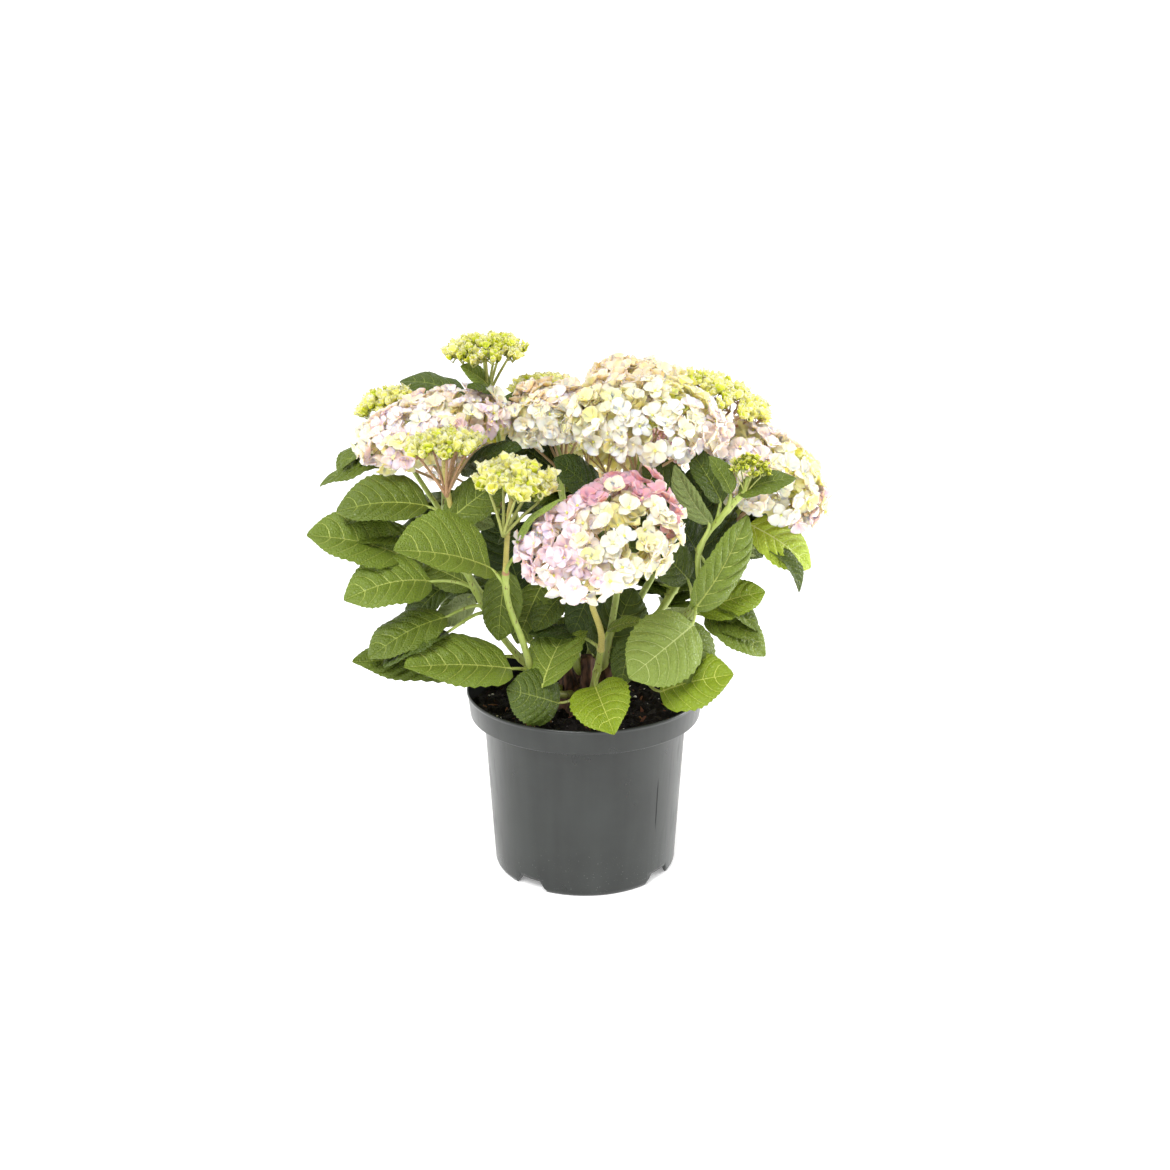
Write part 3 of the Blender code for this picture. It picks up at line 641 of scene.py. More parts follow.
def old_stock():
    """The stock itself: a lumpy dome on the compost, with furrows that run up it."""
    up = np.linspace(0, math.pi / 2, STOCK_ROWS)[:, None]
    around = np.linspace(0, 2 * math.pi, STOCK_SIDES, endpoint=False)
    dome = np.stack([np.cos(up) * np.cos(around), np.cos(up) * np.sin(around), np.sin(up) + 0 * around], -1)
    points = dome * [BASE_RADIUS, BASE_RADIUS, BASE_HEIGHT * 0.72] + [0, 0, SOIL_TOP_Z - 0.003]
    swell = 0.16 * rumple(dome * [1, 1, 0.7], 1.3, 8) + 0.05 * rumple(dome * [1, 1, 0.2], 0.22, 9)
    points += dome * [BASE_RADIUS, BASE_RADIUS, BASE_HEIGHT * 0.4] * swell[..., None]
    foot = np.repeat(points[:1].mean(axis=1, keepdims=True), len(around), axis=1) - [0, 0, 0.002]
    points = np.concatenate([foot, points])
    return points.reshape(1, -1, 3), lattice(len(points), len(around), wrap=True)


def joined(*groups):
    """The points and triangles of several groups of shapes, as one."""
    points, cells, start = [], [], 0
    for group_points, group_cells in groups:
        flat = np.reshape(group_points, (-1, 3))
        points.append(flat)
        cells.append(group_cells + start)
        start += len(flat)
    return np.concatenate(points), np.concatenate(cells)


old_bark = woody_grain("old_bark", tone("24150D"), tone("6E4A33"), 260.0)
old_wood = mesh_piece(
    "old_wood", *joined(old_stubs(), old_stock()), [new_material("old_bark", tone("4A3122"), 0.85, old_bark)]
)
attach(old_wood, "root")
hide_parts("woody_base")

# ---- leaves ----
# The leaves stand in pairs on round stalks. Each blade is broad, drawn to a short point and toothed, puckered
# between its side veins, which are pale and arch towards the edge, and paler beneath.

VEIN_PAIRS, FIRST_VEIN, LAST_VEIN = 6, 0.060, 0.76
VEIN_SWEEP, SIDE_LAG = 0.80, 0.012
# Half the width of a side vein at the midrib and what it loses to the edge, and of the midrib what it loses
# to the tip and what it keeps there, all as shares of the blade's length.
VEIN_HALF, VEIN_TAPER, RIB_TAPER, RIB_TIP_HALF = 0.0046, 0.0032, 0.0085, 0.0012
# The outline: how it widens from the base, narrows to the tip, and how high that is before it is scaled to 1,
# then by how much the tip is drawn in and over what length.
WIDENING, NARROWING, OUTLINE_PEAK, TIP_DRAWN, TIP_SPAN = 0.50, 0.62, 0.484, 0.30, 0.10
BLADE_THICK, RIB_THICK = 0.0004, 0.0010
TOOTH_DEPTH, TOOTH_LEAN = 0.030, 0.006
PUCKER, EDGE_CURL, WAVES_ALONG = 0.034, 1.6, 2.1
# What chance gives each blade: the lowest value and the span of its curl, its wave, the wave's start and how
# puckered it is.
BLADE_LUCK = ((0.05, 0.20), (0.02, 0.04), (0.0, 2 * math.pi), (0.7, 0.5))


def blade_rows():
    """The blade's rows from its base to its tip, as four lists: how far along the midrib each starts, which
    edge of a vein it is (-1, 1 or 0 for none), how far up the pucker it lies, and its tooth at the margin."""
    veins = FIRST_VEIN + (LAST_VEIN - FIRST_VEIN) * (np.arange(VEIN_PAIRS) / (VEIN_PAIRS - 1)) ** 1.04
    rows = [(0.0, 0, 0.0, 0), (0.004, 0, 0.3, 0), (0.014, 0, 0.5, 0), (0.032, 0, 0.6, 0)]
    for vein, following in zip(veins, [*veins[1:], 1.0]):
        gap = following - vein
        rows += [(vein, -1, 0.0, 1), (vein, 1, 0.0, 1)]
        between = ((0.27, 0.8, -1), (0.52, 1.0, 0.8), (0.77, 0.8, -1))
        rows += [(vein + gap * share, 0, pucker, tooth) for share, pucker, tooth in between]
    return np.array([*rows, (1.0, 0, 0.0, 0)]).T


ROW_START, ROW_EDGE, ROW_PUCKER, ROW_TOOTH = (values[:, None] for values in blade_rows())
ACROSS = np.array([1.0, 0.93, 0.74, 0.50, 0.25, 0.0, 0.0, 0.25, 0.50, 0.74, 0.93, 1.0])
SIDE = np.repeat([-1.0, 1.0], 6)
BLADE_GRID = (len(ROW_START), len(ACROSS))


def blades(base, tip, face, width, fold, arch, luck):
    """Blades, as (blade, point, 3) for both skins. The midrib runs from base to tip and rises by arch between
    them. The halves fold up from it, curl down at the edges and wave along them. luck holds four chance
    values for each blade: its curl, its wave, where the wave starts and how puckered it is."""
    count = len(base)
    curl, wave, start, puckered = (low + span * luck[:, item] for item, (low, span) in enumerate(BLADE_LUCK))
    number = lambda value: np.broadcast_to(value, count)[:, None, None]
    run = tip - base
    length = np.linalg.norm(run, axis=-1)[:, None, None]
    forward = unit(run)
    normal = unit(face - (face * forward).sum(-1, keepdims=True) * forward)
    sideways = np.cross(normal, forward)
    row, over = ROW_START, ACROSS
    along = row + VEIN_SWEEP * over**1.35 * (1 - row) * row**0.5
    along = along + ROW_EDGE * (VEIN_HALF - VEIN_TAPER * over) + SIDE_LAG * (SIDE < 0) * np.sin(math.pi * row)
    toothed = (over == 1.0) * ROW_TOOTH * np.minimum(1, 6 * (1 - row))
    along = np.clip(along + TOOTH_LEAN * toothed * (row > 0.02), 0, 1)[None]
    drawn = 1 - TIP_DRAWN * np.exp(-(((along - 1) / TIP_SPAN) ** 2))
    outline = along**WIDENING * np.maximum(1 - along, 0) ** NARROWING / OUTLINE_PEAK * drawn
    outline = outline * (1 + TOOTH_DEPTH * toothed * (along > 0.03) * (along < 0.99))
    rib = RIB_TAPER * (1 - along) + RIB_TIP_HALF
    aside = rib + over * np.maximum(number(width) / 2 * outline - rib, 0)
    phase = number(start) + 1.3 * (SIDE > 0)
    lift = PUCKER * ROW_PUCKER * np.sin(math.pi * over**0.8) ** 0.8 * np.sqrt(4 * along * (1 - along) + 1e-9)
    lift = lift * number(puckered)
    lift = lift + np.tan(np.radians(number(fold))) * (aside - rib)
    lift = lift - number(curl) * EDGE_CURL * aside**2 / (number(width) / 2)
    lift = lift + number(wave) * over**2 * outline * np.sin(2 * math.pi * WAVES_ALONG * along + phase) * 0.5
    lift = lift + number(arch) * np.sin(math.pi * along**0.92)
    skin = base[:, None, None] + length[..., None] * (
        along[..., None] * forward[:, None, None]
        + (SIDE * aside)[..., None] * sideways[:, None, None]
        + lift[..., None] * normal[:, None, None]
    )
    on_vein = np.abs(ROW_EDGE) * (over < 0.95)
    on_rib = (over == 0.0) * (1 - along[0])
    thick = (BLADE_THICK + RIB_THICK * on_rib + 0.4 * RIB_THICK * on_vein) * (over < 1.0)
    thick[[0, -1]] = 0
    under = skin - thick[None, ..., None] * normal[:, None, None]
    return np.concatenate([skin.reshape(count, -1, 3), under.reshape(count, -1, 3)], axis=1)


def blade_cells():
    """The triangles of one blade's two skins, and what each covers: 0 the blade, 1 a vein, and 2 and 3 the
    same beneath."""
    cells = lattice(*BLADE_GRID)
    row, column = np.meshgrid(np.arange(BLADE_GRID[0] - 1), np.arange(BLADE_GRID[1] - 1), indexing="ij")
    between = (ROW_EDGE[row, 0] == -1) & (ROW_EDGE[row + 1, 0] == 1)
    inside = np.maximum(ACROSS[column], ACROSS[column + 1]) < 0.95
    vein = np.repeat(((between & inside) | (column == 5)).ravel(), 2).astype(int)
    below = cells + BLADE_GRID[0] * BLADE_GRID[1]
    return np.concatenate([cells[:, ::-1], below]), np.concatenate([vein, vein + 2])


# Leaf colours, from the deep shade of the middle to the young leaves at the rim: blade, veins and underside.
# The darker tints, shade and deep, are painted shade on leaves that lie in the plant's shadow, and the young
# tint, yellow green, is made paler still as painted light shining through a leaf at the rim.
LEAF_TINTS = {
    "shade": ("314212", "5C6A28", "566430"),
    "deep": ("46561A", "7E8A3C", "6C783A"),
    "green": ("59691F", "96A24C", "7F8B48"),
    "fresh": ("697B29", "AAB45C", "8E9A52"),
    "bright": ("7A8E1E", "BCC45E", "9CA85A"),
    # Paler than a young leaf's own green: painted light, shining through a leaf at the rim.
    "young": ("A2B634", "CCD684", "AEC066"),
    "pale": ("7A8C3C", "ACB870", "98A460"),
    "grey": ("738248", "98A46A", "949F6E"),
}


def leaf_skin():
    """The fine grain of a leaf: small cells pressed up between the last veins, with an even satin gloss."""
    group, place, out = finish_group("leaf_skin", colour=False)
    grain = noise(group, place, 700.0, 3.0)
    group.links.new(ranged(group, grain, 0.3, 0.7, 0.34, 0.46), out.inputs["Roughness"])
    cells = group.nodes.new("ShaderNodeTexVoronoi")
    cells.feature = "DISTANCE_TO_EDGE"
    cells.inputs["Scale"].default_value = 330.0
    group.links.new(place, cells.inputs["Vector"])
    raised = ranged(group, cells.outputs["Distance"], 0.0, 0.22)
    crinkles = reckoned(group, "ADD", reckoned(group, "MULTIPLY", grain, 0.6), raised)
    group.links.new(relief(group, crinkles, 0.7, 0.0007), out.inputs["Normal"])
    return group


leaf_grain = leaf_skin()
leaf_finishes, tint_number = [], {}
for tint, (blade, vein, under) in LEAF_TINTS.items():
    tint_number[tint] = len(leaf_finishes)
    for part, code in (("blade", blade), ("vein", vein), ("under", under), ("under_vein", under)):
        leaf_finishes.append(
            new_material(f"leaf_{tint}_{part}", tone(code), 0.46, leaf_grain, Specular_IOR_Level=0.3)
        )

# Each mass of leaves: the stem that carries it, the number of leaves that fill it, their tints, and the
# leaves that stand
# outermost in it. Of each of those: where its blade starts and ends, its width as a share
# of its length, the way that its upper face looks, its fold in degrees, its arch as a share of its length,
# and its tint. The masses deep in the middle take the darker tints, shade and deep, as painted shade.
LEAF_MASSES = {
    "leaves_left_top": ("stem_far_left", 2, "deep green", [
        ((-0.168, 0.035, 0.391), (-0.248, 0.030, 0.364), 0.62, (-0.2, -0.1, 1), 16, 0.08, "green"),
    ]),
    "leaves_left_upper": ("stem_left", 2, "deep green", [
        ((-0.139, -0.045, 0.366), (-0.221, -0.052, 0.363), 0.74, (0, -0.62, 1), 20, 0.10, "green"),
        ((-0.164, -0.040, 0.318), (-0.248, -0.055, 0.342), 0.80, (0, -0.55, 1), 25, 0.07, "fresh"),
    ]),
    "leaves_left_front": ("stem_left_front", 0, "deep", [
        ((-0.082, -0.098, 0.325), (-0.161, -0.142, 0.354), 0.82, (0.05, -0.62, 1), 27, 0.07, "fresh"),
        ((-0.121, -0.085, 0.362), (-0.066, -0.062, 0.400), 0.56, (0.3, -1, 0.8), 16, 0.06, "green"),
        ((-0.070, -0.062, 0.312), (-0.078, -0.066, 0.246), 0.60, (-0.3, -1, 0.3), 12, 0.06, "green"),
        ((-0.060, 0.000, 0.273), (-0.085, 0.012, 0.343), 0.80, (0.1, -1, 0.5), 12, 0.08, "shade"),
        ((-0.125, -0.030, 0.355), (-0.080, -0.050, 0.349), 0.50, (0, -0.9, 0.6), 14, 0.08, "grey"),
    ]),
    "leaves_left_low": ("stem_left", 2, "deep green", [
        ((-0.138, -0.055, 0.299), (-0.213, -0.085, 0.291), 0.78, (-0.15, -0.75, 1), 14, 0.13, "fresh"),
        ((-0.126, -0.004, 0.282), (-0.166, -0.014, 0.240), 0.56, (-0.3, -0.8, 0.8), 22, 0.10, "deep"),
        ((-0.104, -0.010, 0.272), (-0.142, -0.032, 0.250), 0.70, (0.3, 0.6, -1), 14, 0.10, "grey"),
        ((-0.103, -0.020, 0.283), (-0.153, -0.010, 0.303), 0.60, (0.1, -0.9, 0.6), 12, 0.08, "green"),
    ]),
    "leaves_left_foot": ("stem_left_front", 2, "deep green", [
        ((-0.099, -0.035, 0.216), (-0.208, -0.085, 0.233), 0.46, (0, -0.6, 1), 14, 0.02, "green"),
        ((-0.066, -0.078, 0.224), (-0.158, -0.120, 0.241), 0.72, (0.03, -0.45, 1), 26, 0.04, "fresh"),
    ]),
    "leaves_left_back": ("stem_far_left", 2, "deep", [
        ((-0.113, 0.080, 0.436), (-0.177, 0.095, 0.451), 0.62, (-0.1, -0.35, 1), 16, 0.12, "deep"),
        ((-0.088, 0.045, 0.455), (-0.114, 0.030, 0.478), 0.62, (-0.2, -0.8, 1), 14, 0.08, "fresh"),
        ((-0.080, 0.036, 0.446), (-0.106, -0.002, 0.464), 0.50, (0.3, -0.2, 1), 16, 0.10, "deep"),
    ]),
    "leaves_front_left": ("stem_front", 1, "shade deep", [
        ((-0.039, -0.085, 0.208), (-0.005, -0.025, 0.258), 0.68, (-0.4, -0.5, 0.8), 14, 0.08, "fresh"),
        ((-0.040, -0.020, 0.284), (-0.062, -0.046, 0.236), 0.66, (-0.2, -1, 0.5), 12, 0.08, "green"),
        ((-0.020, -0.020, 0.276), (-0.046, -0.052, 0.250), 0.66, (-0.2, -0.8, 0.8), 12, 0.08, "deep"),
        ((0.008, -0.030, 0.288), (-0.012, -0.054, 0.246), 0.64, (-0.1, -1, 0.5), 10, 0.08, "shade"),
        ((0.010, 0.012, 0.201), (-0.012, 0.028, 0.234), 0.72, (-0.1, -1, 0.5), 10, 0.08, "shade"),
        ((0.017, -0.010, 0.205), (0.046, 0.012, 0.271), 0.80, (-0.1, -1, 0.5), 10, 0.08, "deep"),
    ]),
    "leaves_front_foot": ("stem_front_left", 0, "deep", [
        ((-0.023, -0.075, 0.189), (-0.070, -0.095, 0.211), 0.98, (0.1, -1, 0.5), 8, 0.10, "deep"),
    ]),
    "leaves_rim_front": ("stem_front", 0, "deep", [
        ((0.009, -0.072, 0.205), (0.026, -0.126, 0.180), 0.94, (-0.3, -0.7, 1), 30, 0.10, "bright"),
    ]),
    "leaves_right_front": ("stem_right_front", 0, "deep", [
        ((0.096, -0.092, 0.271), (0.038, -0.128, 0.234), 0.88, (0.15, -1, 0.5), 10, 0.08, "pale"),
        ((0.078, -0.076, 0.268), (0.106, -0.094, 0.214), 0.86, (0.3, -1, 0.6), 8, 0.12, "green"),
        ((0.044, -0.045, 0.245), (0.032, -0.060, 0.200), 0.60, (-0.1, -1, 0.5), 14, 0.08, "deep"),
    ]),
    "leaves_right_rim": ("stem_right_front", 0, "green", [
        ((0.067, -0.085, 0.204), (0.131, -0.108, 0.230), 0.80, (0.05, -0.95, 1), 14, 0.07, "bright"),
    ]),
    "leaves_right_middle": ("stem_right_front", 1, "green", [
        ((0.096, -0.072, 0.276), (0.144, -0.055, 0.361), 0.46, (0.75, -1, 0.3), 26, 0.07, "fresh"),
        ((0.108, -0.010, 0.276), (0.105, 0.012, 0.393), 0.62, (0.1, -1, 0.4), 10, 0.06, "shade"),
    ]),
    "leaves_right_low": ("stem_right", 2, "green", [
        ((0.104, -0.030, 0.262), (0.166, -0.020, 0.278), 0.62, (0.1, -0.9, 0.8), 14, 0.10, "bright"),
        ((0.111, -0.020, 0.254), (0.166, -0.040, 0.222), 0.66, (0.2, -0.75, 1), 14, 0.12, "fresh"),
    ]),
    "leaves_right_outer": ("stem_right", 2, "green fresh", [
        # The tint of this leaf paints the light that shines through it.
        ((0.150, -0.012, 0.340), (0.209, -0.005, 0.296), 0.62, (0.25, -1, 0.75), 12, 0.10, "young"),
        ((0.167, -0.020, 0.318), (0.196, -0.028, 0.279), 0.50, (0.8, -0.5, 0.5), 42, 0.14, "deep"),
    ]),
    "leaves_right_top": ("stem_right_front", 0, "deep", [
        ((0.120, -0.068, 0.375), (0.089, -0.058, 0.424), 0.50, (0.55, -1, 0.2), 24, 0.06, "deep"),
        ((0.110, -0.080, 0.359), (0.077, -0.086, 0.414), 0.40, (-0.4, -0.8, -0.3), 26, 0.08, "grey"),
        ((0.127, -0.084, 0.388), (0.106, -0.088, 0.422), 0.50, (0.6, -0.8, 0.3), 26, 0.06, "green"),
    ]),
    "leaves_right_tip": ("stem_right_front", 0, "green", [
        ((0.133, -0.077, 0.385), (0.184, -0.070, 0.398), 0.58, (0, -0.45, 1), 16, 0.10, "green"),
    ]),
    "leaves_middle_left": ("stem_middle_left", 5, "shade deep", [
        ((0.012, -0.010, 0.362), (-0.028, -0.040, 0.408), 0.62, (0.2, -1, 0.9), 10, 0.08, "shade"),
        ((-0.061, -0.125, 0.342), (-0.019, -0.150, 0.401), 0.17, (-0.77, -0.27, 0.66), 12, 0.12, "pale"),
        ((-0.035, 0.030, 0.428), (-0.075, 0.006, 0.452), 0.66, (0, -0.8, 1), 14, 0.06, "deep"),
        ((-0.112, 0.000, 0.388), (-0.056, -0.034, 0.416), 0.60, (0.1, -0.6, 1), 12, 0.08, "shade"),
        ((-0.022, 0.015, 0.380), (-0.073, 0.030, 0.413), 0.72, (0, -1, 0.5), 10, 0.06, "shade"),
    ]),
    "leaves_middle": ("stem_middle", 5, "shade deep", [
        ((0.092, -0.012, 0.356), (0.050, -0.040, 0.406), 0.62, (-0.2, -1, 0.8), 12, 0.08, "deep"),
        ((0.094, -0.050, 0.298), (0.050, -0.058, 0.342), 0.66, (0, -1, 0.7), 10, 0.08, "deep"),
        ((0.100, -0.030, 0.322), (0.070, -0.034, 0.366), 0.70, (0.2, -1, 0.6), 10, 0.08, "shade"),
        ((0.020, -0.060, 0.254), (0.052, -0.074, 0.268), 0.50, (0, -0.5, 1), 16, 0.08, "fresh"),
    ]),
    "leaves_back_left": ("stem_back_left", 10, "deep green fresh", [
        ((-0.085, 0.105, 0.300), (-0.160, 0.150, 0.292), 0.70, (-0.2, 0.3, 1), 16, 0.10, "green"),
        ((-0.070, 0.112, 0.268), (-0.105, 0.185, 0.248), 0.74, (-0.1, 0.5, 1), 16, 0.10, "fresh"),
    ]),
    "leaves_back": ("stem_back", 10, "deep green fresh", [
        ((0.018, 0.118, 0.285), (-0.034, 0.188, 0.272), 0.72, (-0.2, 0.5, 1), 14, 0.10, "green"),
        ((0.034, 0.120, 0.262), (0.066, 0.200, 0.240), 0.74, (0.1, 0.6, 1), 14, 0.12, "fresh"),
    ]),
    "leaves_back_right": ("stem_far_right", 12, "deep green fresh", [
        ((0.108, 0.092, 0.262), (0.146, 0.160, 0.240), 0.72, (0.2, 0.5, 1), 14, 0.12, "green"),
    ]),
    "leaves_back_foot_left": ("stem_back_left", 8, "deep green", [
        ((-0.058, 0.085, 0.240), (-0.120, 0.125, 0.212), 0.68, (-0.2, 0.3, 1), 12, 0.10, "green"),
    ]),
    "leaves_back_foot_right": ("stem_far_right", 10, "deep green", [
        ((0.080, 0.072, 0.232), (0.128, 0.120, 0.208), 0.68, (0.2, 0.4, 1), 12, 0.10, "green"),
    ]),
}
LEAF_LENGTH, LEAF_WIDTH, LEAF_FOLD, LEAF_ARCH = (0.062, 0.104), (0.64, 0.80), (12, 26), (0.05, 0.14)
LEAF_REACH, LEAF_SPREAD, COMMON_HALF_SIZE = (0.80, 0.98), 0.62, 0.055


def inner_leaves(mass, stem, count, tints, seed):
    """Leaves that fill a mass: each tip is a seeded place on the mass's outer side, its blade lies back from
    there towards the stem, and its face looks up and out."""
    chance = np.random.default_rng(seed)
    low, high = (np.array(corner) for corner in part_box(mass))
    middle, half = (low + high) / 2, (high - low) / 2
    path = routes[stem]
    nearest = path[np.argmin(np.linalg.norm(path - middle, axis=1))]
    outward = unit((middle - nearest) * [1, 1, 0.4])
    ways = unit(outward + chance.normal(0, LEAF_SPREAD, (count, 3)) * [1, 1, 0.8])
    tips = middle + ways * half * chance.uniform(*LEAF_REACH, (count, 1))
    lengths = chance.uniform(*LEAF_LENGTH, (count, 1)) * np.clip(half.max() / COMMON_HALF_SIZE, 0.55, 1.05)
    rooted = nearest + (tips - nearest) * 0.12 + chance.normal(0, 0.006, (count, 3))
    run = tips - rooted
    bases = tips - unit(run) * np.minimum(lengths, np.linalg.norm(run, axis=1, keepdims=True) * 0.92)
    faces = unit([0, 0, 1.0] + ways * [0.5, 0.5, 0.0] + chance.normal(0, 0.22, (count, 3)))
    widths, folds = chance.uniform(*LEAF_WIDTH, count), chance.uniform(*LEAF_FOLD, count)
    arches, names = chance.uniform(*LEAF_ARCH, count), chance.choice(tints.split(), count)
    return list(zip(bases, tips, widths, faces, folds, arches, names))


all_leaves, leaf_mass = [], []
for seed, (mass, (stem, count, tints, outermost)) in enumerate(LEAF_MASSES.items(), 300):
    leaves = outermost + inner_leaves(mass, stem, count, tints, seed)
    all_leaves += leaves
    leaf_mass += [mass] * len(leaves)

chance = np.random.default_rng(77)
leaf_base, leaf_tip, leaf_width, leaf_face, leaf_fold, leaf_arch = (
    np.array([leaf[item] for leaf in all_leaves], float) for item in range(6)
)
blade_points = blades(
    leaf_base, leaf_tip, leaf_face, leaf_width, leaf_fold, leaf_arch, chance.random((len(all_leaves), 4))
)
cells_of_blade, cover = blade_cells()

LEAF_PIECES = {
    "leaves_on_the_left": [name for name in LEAF_MASSES if name.startswith("leaves_left")],
    "leaves_on_the_right": [name for name in LEAF_MASSES if name.startswith("leaves_right")],
    "leaves_in_the_middle": [n for n in LEAF_MASSES if n.split("_")[1] in ("front", "rim", "middle")],
    "leaves_at_the_back": [name for name in LEAF_MASSES if name.startswith("leaves_back")],
}
for name, masses in LEAF_PIECES.items():
    chosen = [number for number, mass in enumerate(leaf_mass) if mass in masses]
    tints = np.array([tint_number[all_leaves[number][6]] for number in chosen])
    piece = mesh_piece(
        name,
        blade_points[chosen],
        repeated(cells_of_blade, len(chosen), blade_points.shape[1]),
        leaf_finishes,
        (tints[:, None] + cover).ravel(),
    )
    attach(piece, "root")
    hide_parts(*masses)

# ---- stems and leaf stalks ----
# The green stems, round and freckled with brown pores, with the leaves' stalks on them. A stem is a little
# swollen where a stalk joins it, and three of them are flushed tan above their last leaf.

STEM_FOOT_RADIUS, STEM_TIP_RADIUS, STEM_SIDES = 0.0037, 0.0021, 14
# How far behind its blade and below it a stalk looks for a stem, how far it runs on under the midrib, and how
# far its end is pressed down there.
STALK_REACH, STALK_DROP, STALK_UNDER, STALK_PRESSED = 0.024, 0.010, 0.006, 0.0005
STALK_RADIUS = 0.0018
STALK_STATIONS, STALK_SIDES = 12, 8
# No leaf joins a stem at its first stations or its last, and the stem swells a little where one does.
BARE_FOOT, BARE_TIP = 3, 4
NODE_SWELL, NODE_SPAN = 0.0008, 0.9
# The stems that are flushed tan above their last node, and whether that node has a brown ring.
FLUSHED_STEMS = {"stem_front_left": True, "stem_front": False, "stem_left_front": True}


def green_bark():
    """A young stem: yellow green, browner towards the compost, with brown pores drawn out along it."""
    group, place, out = finish_group("green_bark")
    split = group.nodes.new("ShaderNodeSeparateXYZ")
    group.links.new(place, split.inputs["Vector"])
    shade, pores = noise(group, place, 60.0, 3.0), noise(group, place, 520.0, 2.0, (1.0, 1.0, 0.35))
    green = mixed(group, ranged(group, shade, 0.35, 0.65), tone("8FA046"), tone("A9B861"))
    low = ranged(group, split.outputs["Z"], 0.165, 0.260, 0.75, 0.0)
    low = reckoned(group, "MULTIPLY", low, ranged(group, shade, 0.3, 0.7, 0.5, 1.0))
    green = mixed(group, low, green, tone("7B7038"))
    green = mixed(group, ranged(group, pores, 0.62, 0.68, 0.0, 0.85), green, tone("5E4325"))
    group.links.new(green, out.inputs["Base Color"])
    group.links.new(ranged(group, shade, 0.3, 0.7, 0.38, 0.52), out.inputs["Roughness"])
    group.links.new(relief(group, pores, 0.5, 0.0005), out.inputs["Normal"])
    return group


stem_finish = new_material("green_bark", tone("9CAC52"), 0.45, green_bark())

# Each stalk leaves the nearest stem at the point that lies closest behind the blade, and ends under the
# midrib.
forward = unit(leaf_tip - leaf_base)
wanted = leaf_base - forward * STALK_REACH - [0, 0, STALK_DROP]
on_stems = np.array(list(routes.values()))[:, BARE_FOOT:-BARE_TIP]
apart = np.linalg.norm(on_stems[None] - wanted[:, None, None], axis=-1).reshape(len(wanted), -1)
joined_stem, joined_station = np.divmod(apart.argmin(axis=1), on_stems.shape[1])
joins = on_stems[joined_stem, joined_station]
ends = leaf_base + forward * STALK_UNDER
reach = np.linalg.norm(ends - joins, axis=1)[:, None, None]
t = np.linspace(0, 1, STALK_STATIONS)[:, None]
rise = unit(unit(ends - joins) + [0, 0, 0.5])[:, None]
stalk_paths = (
    joins[:, None] * (1 - t) ** 3
    + (joins[:, None] + rise * reach / 3) * 3 * t * (1 - t) ** 2
    + (ends[:, None] - forward[:, None] * reach / 3) * 3 * t**2 * (1 - t)
    + ends[:, None] * t**3
)
stalk_paths[:, -1] -= unit(leaf_face) * STALK_PRESSED
stalk_taper = np.interp(np.linspace(0, 1, STALK_STATIONS), [0, 0.12, 0.9, 1], [1.5, 1.0, 0.72, 0.35])
stalks, stalk_cells, _ = tubes(stalk_paths, stalk_taper * STALK_RADIUS, STALK_SIDES)

plain_radii = np.linspace(STEM_FOOT_RADIUS, STEM_TIP_RADIUS, STEM_STATIONS)
stem_radii = plain_radii * np.ones((len(routes), 1))
stations = np.arange(STEM_STATIONS)
for number, station in zip(joined_stem, joined_station + BARE_FOOT):
    swell = NODE_SWELL * np.exp(-(((stations - station) / NODE_SPAN) ** 2))
    stem_radii[number] = np.maximum(stem_radii[number], plain_radii + swell)
stem_points, stem_cells, cells_each = tubes(list(routes.values()), stem_radii, STEM_SIDES)
# Each length of a stem between two stations is plain green, a brown ring, or flushed tan above its last node.
lengths = np.zeros((len(routes), STEM_STATIONS - 1), int)
for number, name in enumerate(routes):
    nodes = joined_station[joined_stem == number] + BARE_FOOT
    if name in FLUSHED_STEMS:
        lengths[number, nodes.max() :] = 2
        lengths[number, nodes.max()] = 1 if FLUSHED_STEMS[name] else 2
stem_zone = np.zeros((len(routes), cells_each), int)
stem_zone[:, : lengths.shape[1] * 2 * STEM_SIDES] = np.repeat(lengths, 2 * STEM_SIDES, axis=1)
stems = mesh_piece(
    "green_stems",
    *joined((stem_points, stem_cells), (stalks, stalk_cells)),
    [
        stem_finish,
        new_material("stem_node", tone("A5805A"), 0.5, leaf_grain),
        new_material("stem_flushed", tone("C0B464"), 0.5, leaf_grain),
    ],
    np.concatenate([stem_zone.ravel(), np.zeros(len(stalk_cells), int)]),
)
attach(stems, "root")
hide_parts(*STEMS)

# ---- flower stalks ----
# Under each head the stem forks into rays, and each ray forks again into finer ones that end in one flower
# or bud each. They are smooth, tan under open heads and two of the young ones, and else yellow green.

RAYS = {"bloom": 7, "buds": 6}
RAY_DROP = {"bloom": 0.032, "buds": 0.036}
RAY_RADIUS, BRANCH_RADIUS, PEDICEL_RADIUS = 0.00130, 0.00085, 0.00045
# The points along each of them, and as many sides round it.
RAY_POINTS, BRANCH_POINTS, PEDICEL_POINTS = 7, 5, 4
# Where a head's rays end: how far from its middle as a share of its radius, how far below that as a share of
# its half height, and over how wide a cap they spread.
RAY_SPREAD, RAY_SINK, RAYS_REACH_DEG = 0.60, 0.60, 86
GOLDEN_TURN = math.pi * (3 - math.sqrt(5))


def head_frame(facing):
    """Two directions across a head and the one that it faces, as the rows of a matrix."""
    up = unit(facing)
    across = unit(np.cross([0.0, 1.0, 0.0], up))
    return np.stack([across, np.cross(up, across), up])


def dome(count, widest_deg, chance, jitter):
    """Directions spread evenly over a cap about +Z, in a sunflower's order, each moved a little by chance."""
    share = (np.arange(count) + 0.5) / count
    upward = 1 - (1 - math.cos(math.radians(widest_deg))) * share
    turn = np.arange(count) * GOLDEN_TURN
    level = np.sqrt(1 - upward**2)
    ways = np.stack([level * np.cos(turn), level * np.sin(turn), upward], -1)
    return unit(ways + chance.normal(0, jitter, ways.shape))


